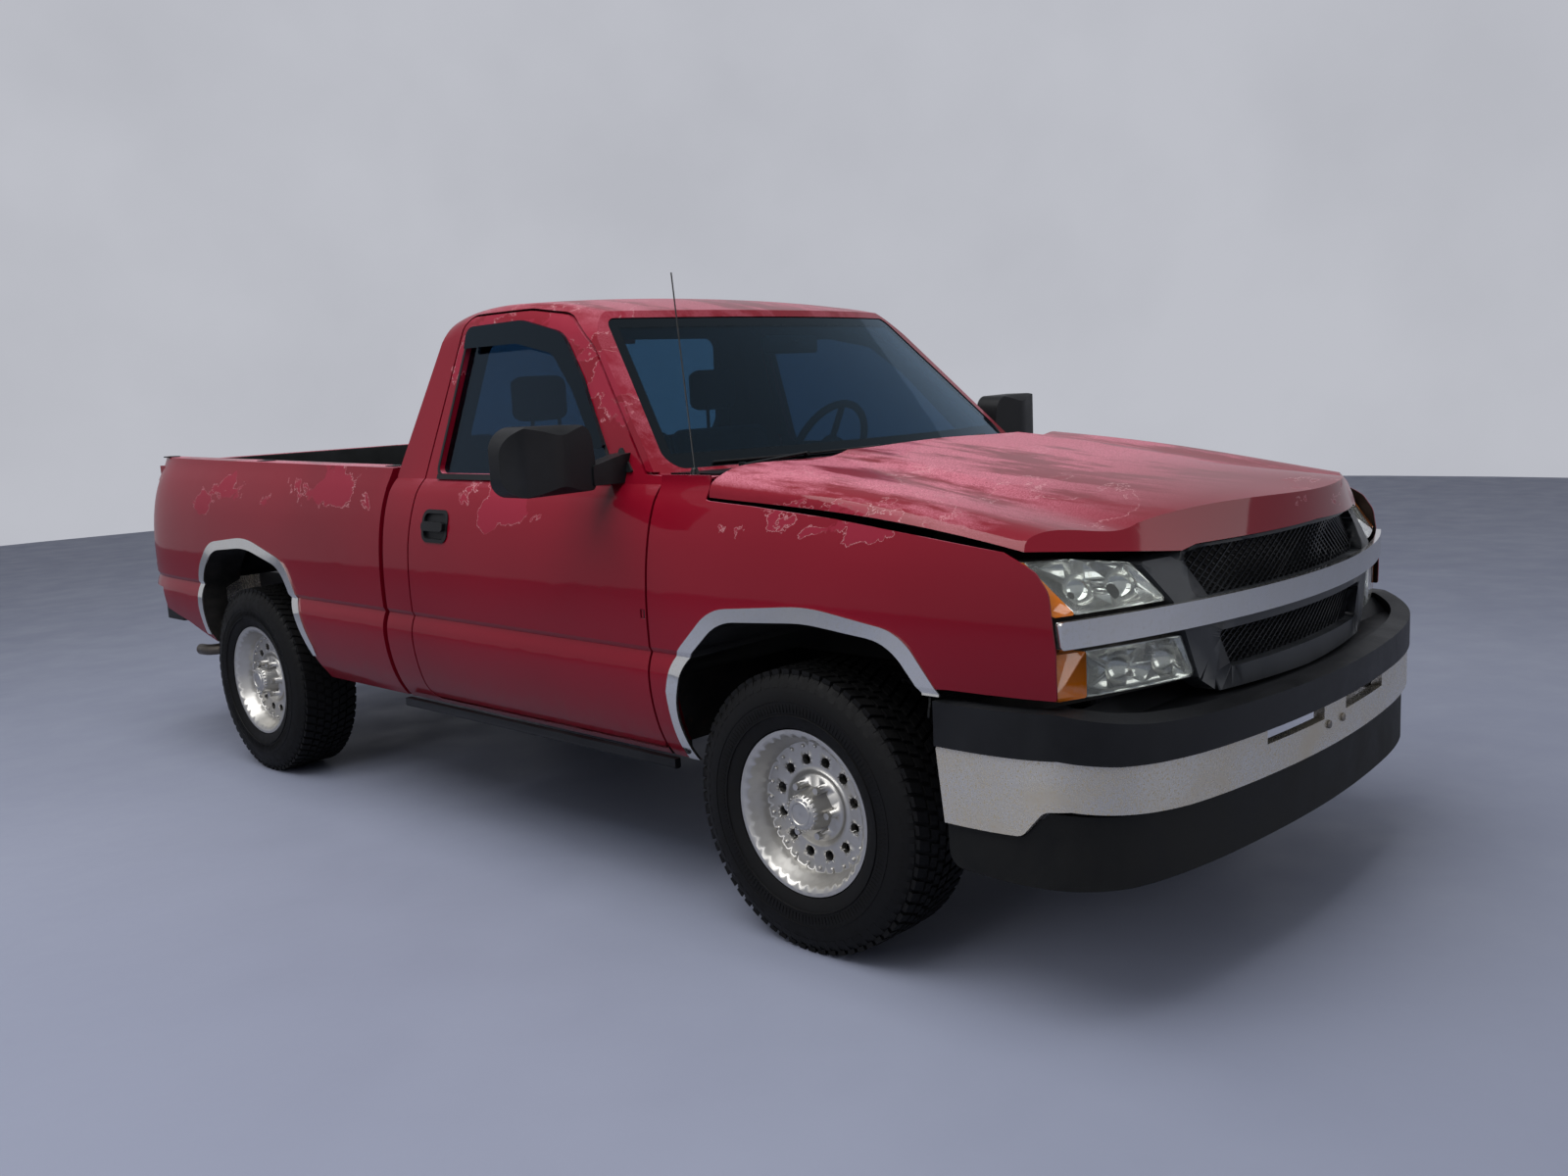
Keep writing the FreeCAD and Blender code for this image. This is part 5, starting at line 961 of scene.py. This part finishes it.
class PICKUP_OT_chassis(bpy.types.Operator):
    """Frame, axles, engine, exhaust and steering below the body"""
    bl_idname = "pickup.chassis"
    bl_label = "Chassis"

    def execute(self, context):
        for node, name, finish in (
                ("frame", "frame_ladder", "chassis"), ("suspension", "arms_and_springs", "chassis"),
                ("radiator_support", "radiator_panel", "chassis"), ("bed_box", "bed_floor", "bed liner"),
                ("rear_axle", "rear_axle_housing", "iron"), ("powertrain", "engine_and_gearbox", "iron"),
                ("driveshaft", "propeller_shaft", "steel"), ("exhaust", "exhaust_pipe", "exhaust"),
                ("tie_rods", "steering_link", "steel"), ("knuckle_right", "right_knuckle", "iron"),
                ("knuckle_left", "left_knuckle", "iron")):
            smooth_copy(node, name, (finish,))
        return {"FINISHED"}


# Tyres


# Half of the carcass's outline, as points across the tyre and out from its middle
tyre_profile = [
    (0.088, 0.211), (0.105, 0.224), (0.117, 0.226), (0.124, 0.244), (0.1285, 0.268), (0.130, 0.292),
    (0.129, 0.306), (0.1265, 0.322), (0.122, 0.338), (0.116, 0.352), (0.108, 0.363), (0.096, 0.3705),
    (0.070, 0.3725), (0.035, 0.3735), (0.0, 0.374)]
bead_seat = [(0.080, 0.216), (0.0, 0.222), (-0.080, 0.216)]
steps_round = 96

# Each row of tread blocks: its place across the tyre, its width, and its start as a share of a block
tread_rows = ((-0.086, 0.040, 0.0), (-0.047, 0.026, 0.5), (-0.0155, 0.023, 0.15),
              (0.0155, 0.023, 0.65), (0.047, 0.026, 0.3), (0.086, 0.040, 0.8))
tread_foot = 0.366
tread_top = 0.381
outer_row = 0.07
outer_row_drop = 0.002
block_half_length = 0.0125
block_slant = 0.35

# The shoulder lugs
lug_across = 0.1235
lug_depth = 0.012
lug_foot = 0.336
lug_half_length = 0.009
lug_lean = 0.0145

# The side wall: its place across, the radius and rise of each bead, and the fine ribs
side_wall = 0.1302
wall_beads = ((0.300, 0.0014), (0.262, 0.0012))
wall_ribs = 150
rib_foot = 0.270
rib_head = 0.292
rib_half_length = 0.0011


def tread_row(across, width, start, count):
    """One row of slanted blocks round the tyre."""
    drop = outer_row_drop if abs(across) > outer_row else 0.0
    block = add_box("block", (across - width / 2, -block_half_length, tread_foot),
                    (across + width / 2, block_half_length, tread_top - drop))
    slant = block_slant if across > 0 else -block_slant
    for vertex in block.data.vertices:
        vertex.co.y += (vertex.co.x - across) * slant
    block.data.transform(Matrix.Rotation(2 * math.pi * start / count, 4, "X"))
    return ring_of(block, count)


def ribbed_side(outward, count):
    """Shoulder lugs, two raised beads and the fine ribs on one side of the tyre."""
    across = lug_across * outward
    inner, outer = sorted((across, across - lug_depth * outward))
    lug = add_box("lug", (inner, -lug_half_length, lug_foot), (outer, lug_half_length, tread_foot))
    for vertex in lug.data.vertices:
        if vertex.co.z > (lug_foot + tread_foot) / 2:
            vertex.co.x -= lug_lean * outward
    pieces = [ring_of(lug, count)]
    side = side_wall * outward
    for radius, rise in wall_beads:
        root = side - 0.003 * outward
        crest = side + rise * 0.5 * outward
        outline = [(root, radius - 0.002), (crest, radius - 0.001),
                   (crest, radius + 0.001), (root, radius + 0.002)]
        pieces.append(spun_ring("bead", outline, steps_round))
    inner, outer = sorted((side - 0.004 * outward, side + 0.0006 * outward))
    rib = add_box("rib", (inner, -rib_half_length, rib_foot), (outer, rib_half_length, rib_head))
    pieces.append(ring_of(rib, wall_ribs))
    return pieces


class PICKUP_OT_tyres(bpy.types.Operator):
    """Tyres with tread blocks and ribbed side walls"""
    bl_idname = "pickup.tyres"
    bl_label = "Tyres"

    def execute(self, context):
        count = context.scene.pickup_tyres.tread_blocks
        right = [(-across, radius) for across, radius in tyre_profile]
        left = tyre_profile[::-1]
        parts = [spun_ring("carcass", right + left[1:] + bead_seat, steps_round)]
        parts += [tread_row(*row, count) for row in tread_rows]
        for outward in (-1, 1):
            parts += ribbed_side(outward, count)
        tyre = join("tyre", parts)
        give(tyre, "rubber")
        for node in ("tyre_front_right", "tyre_front_left", "tyre_rear_right", "tyre_rear_left"):
            low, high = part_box(node)
            copy = new_piece(node.replace("tyre_", "treaded_tyre_"), tyre.data.copy())
            copy.data.transform(Matrix.Translation((low + high) / 2))
            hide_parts(node)
            place_on(copy, frame["nodes"][node]["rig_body"])
        bpy.data.objects.remove(tyre)
        return {"FINISHED"}


# Wheels


# How many there are on one wheel, and the outline of the bead on its cap
rivet_count = 24
nut_count = 6
flute_count = 24
cap_bead = [(-0.1215, 0.027), (-0.1240, 0.029), (-0.1240, 0.033), (-0.1215, 0.035)]


def wheel_fasteners():
    """Rivets, nut tips, and the cap's flutes and bead, as they sit on a right wheel at the origin."""
    put_down()
    bpy.ops.mesh.primitive_uv_sphere_add(segments=10, ring_count=6, radius=0.0055,
                                         location=(-0.052, 0, 0.166))
    rivet = bpy.context.object
    settle(rivet)
    rivets = ring_of(rivet, rivet_count)
    bpy.ops.object.shade_smooth()
    put_down()
    bpy.ops.mesh.primitive_cylinder_add(vertices=6, radius=0.0098, depth=0.014,
                                        location=(-0.090, 0.06985, 0), rotation=(0, math.pi / 2, 0))
    nut = bpy.context.object
    settle(nut)
    nuts = ring_of(nut, nut_count)
    flute = add_box("flute", (-0.119, -0.0024, 0.0455), (-0.072, 0.0024, 0.0492), 0.001, 1)
    flutes = ring_of(flute, flute_count)
    fasteners = join("wheel_fasteners", [rivets, nuts, flutes, spun_ring("bead", cap_bead, 48)])
    give(fasteners, "alloy")
    return fasteners


class PICKUP_OT_wheels(bpy.types.Operator):
    """Deep machined wheels with rivets round the rim, and the brake discs"""
    bl_idname = "pickup.wheels"
    bl_label = "Wheels"

    def execute(self, context):
        fasteners = wheel_fasteners()
        for spot in ("front_right", "front_left", "rear_right", "rear_left"):
            smooth_copy("rim_" + spot, "wheel_" + spot, ("alloy",))
            smooth_copy("rotor_" + spot, "brake_disc_" + spot, ("steel",))
            low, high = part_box("tyre_" + spot)
            mesh = fasteners.data.copy()
            if spot.endswith("left"):
                mesh.transform(Matrix.Rotation(math.pi, 4, "Z"))
            mesh.transform(Matrix.Translation((low + high) / 2))
            copy = new_piece("wheel_fasteners_" + spot, mesh)
            place_on(copy, frame["nodes"]["rim_" + spot]["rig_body"])
        bpy.data.objects.remove(fasteners)
        return {"FINISHED"}


# Cabin


# Left and right end of each seat of the bench; the middle one has no headrest and a single channel
seat_spans = ((-0.70, -0.165), (-0.155, 0.155), (0.165, 0.70))
seat_gap = 0.012
middle_seat = 1
narrow_pad = 0.3

# Each pad's front and back, foot and head, and the radius of its edges, before it is filled
pad_sizes = {
    "cushion": (-0.548, -0.108, 0.712, 0.862, 0.04),
    "backrest": (-0.075, 0.035, 0.815, 1.335, 0.04),
    "headrest": (-0.005, 0.082, 1.393, 1.553, 0.035),
}
headrest_half_width = 0.120
post_half_gap = 0.06
post_half_width = 0.006

# The filling: size of the skin's squares, the cloth's pressure and how long it is blown up
pad_voxel = 0.016
filling_pressure = 4.0
filling_frames = 20

# The crown of a pad's face, and how far its sides are drawn in
faced_share = 0.6
crown_rise = 0.014
crown_shape = 0.6
side_pull = 0.008

# The sewn channels and the cross seam, by their places as shares of the pad
outer_channels = (0.22, 0.78)
middle_channel = (0.5,)
cross_seam = 0.9
seam_half_width = 0.009

# How the backrests lean, and how far back the headrests stand
back_lean = 0.155
back_hinge_height = 0.80
headrest_set_back = 0.055


def blow_up(pad, swell):
    """Fills a pad as cloth under pressure, and holds each point within the swell of its start."""
    start = [vertex.co.copy() for vertex in pad.data.vertices]
    cloth = pad.modifiers.new("filling", "CLOTH")
    cloth.settings.use_pressure = True
    cloth.settings.uniform_pressure_force = filling_pressure
    cloth.settings.effector_weights.gravity = 0.0
    cloth.point_cache.frame_start = 1
    cloth.point_cache.frame_end = filling_frames
    for step in range(1, filling_frames + 1):
        bpy.context.scene.frame_set(step)
    bpy.ops.object.modifier_apply(modifier=cloth.name)
    bpy.context.scene.frame_set(1)
    for vertex, place in zip(pad.data.vertices, start):
        move = vertex.co - place
        if move.length > swell:
            vertex.co = place + move * (swell / move.length)


def fill_pad(pad, kind):
    """Stuffs a block: an even skin, blown up as cloth, crowned, and pulled down along its sewn channels."""
    settings = bpy.context.scene.pickup_bench
    pick_up(pad)
    shape(pad, "REMESH", mode="VOXEL", voxel_size=pad_voxel)
    blow_up(pad, settings.swell)
    low = Vector([min(vertex.co[i] for vertex in pad.data.vertices) for i in range(3)])
    high = Vector([max(vertex.co[i] for vertex in pad.data.vertices) for i in range(3)])
    size = high - low
    up, along, outward = (2, 1, 1) if kind == "cushion" else (1, 2, -1)
    channels = middle_channel if size.x < narrow_pad else outer_channels
    for vertex in pad.data.vertices:
        share = [(vertex.co[i] - low[i]) / size[i] for i in range(3)]
        # The crown is one in the middle of the pad and nought at its edges
        crown = 16 * share[0] * (1 - share[0]) * share[along] * (1 - share[along])
        facing = share[up] if kind == "cushion" else 1 - share[up]
        dip = sum(math.exp(-((share[0] - middle) * size.x / seam_half_width) ** 2) for middle in channels)
        dip += math.exp(-((share[along] - cross_seam) * size[along] / seam_half_width) ** 2)
        dip = 0.0 if kind == "headrest" else min(dip, 1.0)
        if facing > faced_share:
            rise = crown_rise * (max(crown, 0.0) ** crown_shape - 1)
            vertex.co[up] += outward * (rise - settings.seam_depth * dip)
        vertex.co.x -= side_pull * (1 - (2 * share[along] - 1) ** 2) * (2 * share[0] - 1)
        if kind == "backrest":
            vertex.co.y += (vertex.co.z - back_hinge_height) * back_lean
        elif kind == "headrest":
            vertex.co.y += headrest_set_back
    shape(pad, "SUBSURF", levels=1, render_levels=1)
    bpy.ops.object.shade_smooth()


def pad_block(kind, left, right):
    """The plain block that a pad starts from."""
    front, back, foot, head, soft = pad_sizes[kind]
    return add_box(kind, (left, front, foot), (right, back, head), soft, 4)


class PICKUP_OT_cabin(bpy.types.Operator):
    """Dashboard, steering wheel, inside mirror and the padded bench"""
    bl_idname = "pickup.cabin"
    bl_label = "Cabin"

    def execute(self, context):
        smooth_copy("dashboard", "dashboard_moulding", ("cabin plastic",))
        smooth_copy("steering_wheel", "steering_wheel_rim", ("cabin plastic",))
        binnacle = add_box("instrument_hood", (0.215, -0.985, 1.185), (0.585, -0.835, 1.243), 0.022, 3)
        fit_out(binnacle, "cabin plastic", "body")
        case = add_box("mirror_case", (-0.125, -0.765, 1.585), (0.125, -0.735, 1.645), 0.012, 3)
        stalk = add_box("stalk", (-0.008, -0.785, 1.615), (0.008, -0.750, 1.630), 0.003, 1)
        fit_out(join("inside_mirror", [case, stalk]), "smooth plastic", "body")

        pads = []
        frames = []
        for seat, (left, right) in enumerate(seat_spans):
            pads.append(pad_block("cushion", left + seat_gap, right - seat_gap))
            pads.append(pad_block("backrest", left + seat_gap, right - seat_gap))
            frames.append(add_box("plinth", (left + 0.045, -0.515, 0.5605),
                                  (right - 0.045, -0.065, 0.706), 0.01, 2))
            if seat == middle_seat:
                continue
            middle = (left + right) / 2
            pads.append(pad_block("headrest", middle - headrest_half_width, middle + headrest_half_width))
            for post in (middle - post_half_gap, middle + post_half_gap):
                frames.append(add_box("post", (post - post_half_width, 0.062, 1.30),
                                      (post + post_half_width, 0.074, 1.44), 0.004, 2))
        fit_out(join("seat_frame", frames), "smooth plastic", "body")
        for pad, letter in zip(pads, "abcdefgh"):
            kind = pad.name.split(".")[0]
            fill_pad(pad, kind)
            give(pad, "cloth")
            pad.name = "seat_" + kind + "_" + letter
            place_on(pad, "body")
        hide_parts("seat")
        return {"FINISHED"}


# Small fittings


fin_rows = 13
fin_pitch = 0.014
first_fin = 0.46
fin_half_width = 0.0025
bolt_half_gap = 0.045
bolt_radius = 0.011
cap_half_length = 0.034
cap_places = (0.43, 1.42, 2.33)
rail_start = (0.35, 1.256)
rail_rise = 0.01435


def cowl_louvres():
    """Two rows of fins that stand over the cowl's air inlets."""
    fins = []
    for sign in (-1, 1):
        for step in range(fin_rows):
            middle = sign * (first_fin + fin_pitch * step)
            fins.append(add_box("fin", (middle - fin_half_width, -1.232, 1.2495),
                                (middle + fin_half_width, -1.160, 1.2545), 0.001, 1))
    return join("cowl_louvres", fins)


def bumper_bolts():
    """The two round heads in the middle of the front bumper."""
    bolts = []
    for across in (-bolt_half_gap, bolt_half_gap):
        put_down()
        bpy.ops.mesh.primitive_cylinder_add(vertices=24, radius=bolt_radius, depth=0.008,
                                            location=(across, -2.608, 0.560), rotation=(math.pi / 2, 0, 0))
        bolt = bpy.context.object
        settle(bolt)
        shape(bolt, "BEVEL", width=0.003, segments=3)
        bpy.ops.object.shade_smooth_by_angle(angle=math.radians(40))
        bolts.append(bolt)
    return join("bumper_bolts", bolts)


def tailgate_lever():
    """The latch's lever in its bezel, inside the tailgate's grip recess."""
    lever = add_box("lever", (-0.082, 2.433, 1.184), (0.082, 2.4465, 1.216), 0.005, 3)
    bezel = add_box("bezel", (-0.107, 2.4315, 1.1745), (0.107, 2.4350, 1.2255), 0.002, 2)
    return join("tailgate_lever", [lever, bezel])


def high_brake_lamp():
    """The lamp over the rear window, turned to lie on the cab."""
    cab = bpy.data.objects["cab_body"]
    _, spot, facing, _ = cab.closest_point_on_mesh(Vector((0, 0.6, 1.742)))
    lamp = add_box("high_brake_lamp", (-0.14, -0.004, -0.017), (0.14, 0.011, 0.017), 0.005, 3)
    turn = Vector((0, 1, 0)).rotation_difference(facing).to_matrix().to_4x4()
    lamp.data.transform(Matrix.Translation(spot) @ turn)
    return lamp


def stake_pocket_caps():
    """Three plugs on each bed rail."""
    rail_front, rail_height = rail_start
    caps = []
    for sign in (-1, 1):
        inner, outer = sorted((sign * 0.812, sign * 0.862))
        for along in cap_places:
            top = rail_height + (along - rail_front) * rail_rise
            caps.append(add_box("cap", (inner, along - cap_half_length, top - 0.002),
                                (outer, along + cap_half_length, top + 0.0035), 0.003, 2))
    return join("stake_pocket_caps", caps)


class PICKUP_OT_wipers(bpy.types.Operator):
    """Wiper arms and blades at the foot of the windshield"""
    bl_idname = "pickup.wipers"
    bl_label = "Wipers"

    def execute(self, context):
        smooth_copy("wipers", "wiper_arms", ("smooth plastic",))
        return {"FINISHED"}


class PICKUP_OT_fittings(bpy.types.Operator):
    """Cowl louvres, bumper bolts, tailgate lever, high brake lamp and stake pocket caps"""
    bl_idname = "pickup.fittings"
    bl_label = "Small fittings"

    def execute(self, context):
        fit_out(cowl_louvres(), "smooth plastic", "body")
        fit_out(bumper_bolts(), "steel", "body")
        fit_out(tailgate_lever(), "smooth plastic", "tailgate")
        fit_out(high_brake_lamp(), "red lens", "body")
        fit_out(stake_pocket_caps(), "grained plastic", "body")
        return {"FINISHED"}


# Add-on


settings_groups = {
    "pickup_stage": StageSettings,
    "pickup_paint": PaintSettings,
    "pickup_bench": BenchSettings,
    "pickup_tyres": TyreSettings,
}
operators = (PICKUP_OT_stage, PICKUP_OT_painted_body, PICKUP_OT_bright_trim, PICKUP_OT_plastics,
             PICKUP_OT_glass, PICKUP_OT_lamps, PICKUP_OT_chassis, PICKUP_OT_tyres, PICKUP_OT_wheels,
             PICKUP_OT_cabin, PICKUP_OT_wipers, PICKUP_OT_fittings)


class PICKUP_PT_panel(bpy.types.Panel):
    """The settings of the pickup truck and a button for each group of pieces"""
    bl_idname = "PICKUP_PT_panel"
    bl_label = "Pickup truck"
    bl_space_type = "VIEW_3D"
    bl_region_type = "UI"
    bl_category = "Pickup"

    def draw(self, context):
        column = self.layout.column()
        for name, group in settings_groups.items():
            for setting in group.__annotations__:
                column.prop(getattr(context.scene, name), setting)
        for operator in operators:
            column.operator(operator.bl_idname)


def register():
    for name, group in settings_groups.items():
        bpy.utils.register_class(group)
        setattr(bpy.types.Scene, name, bpy.props.PointerProperty(type=group))
    for operator in operators:
        bpy.utils.register_class(operator)
    bpy.utils.register_class(PICKUP_PT_panel)


def unregister():
    bpy.utils.unregister_class(PICKUP_PT_panel)
    for operator in operators[::-1]:
        bpy.utils.unregister_class(operator)
    for name, group in settings_groups.items():
        delattr(bpy.types.Scene, name)
        bpy.utils.unregister_class(group)


def main():
    register()
    bpy.ops.pickup.stage()
    bpy.ops.pickup.painted_body()
    bpy.ops.pickup.bright_trim()
    bpy.ops.pickup.plastics()
    bpy.ops.pickup.glass()
    bpy.ops.pickup.lamps()
    bpy.ops.pickup.chassis()
    bpy.ops.pickup.tyres()
    bpy.ops.pickup.wheels()
    bpy.ops.pickup.cabin()
    bpy.ops.pickup.wipers()
    bpy.ops.pickup.fittings()


if __name__ == "__main__":
    main()
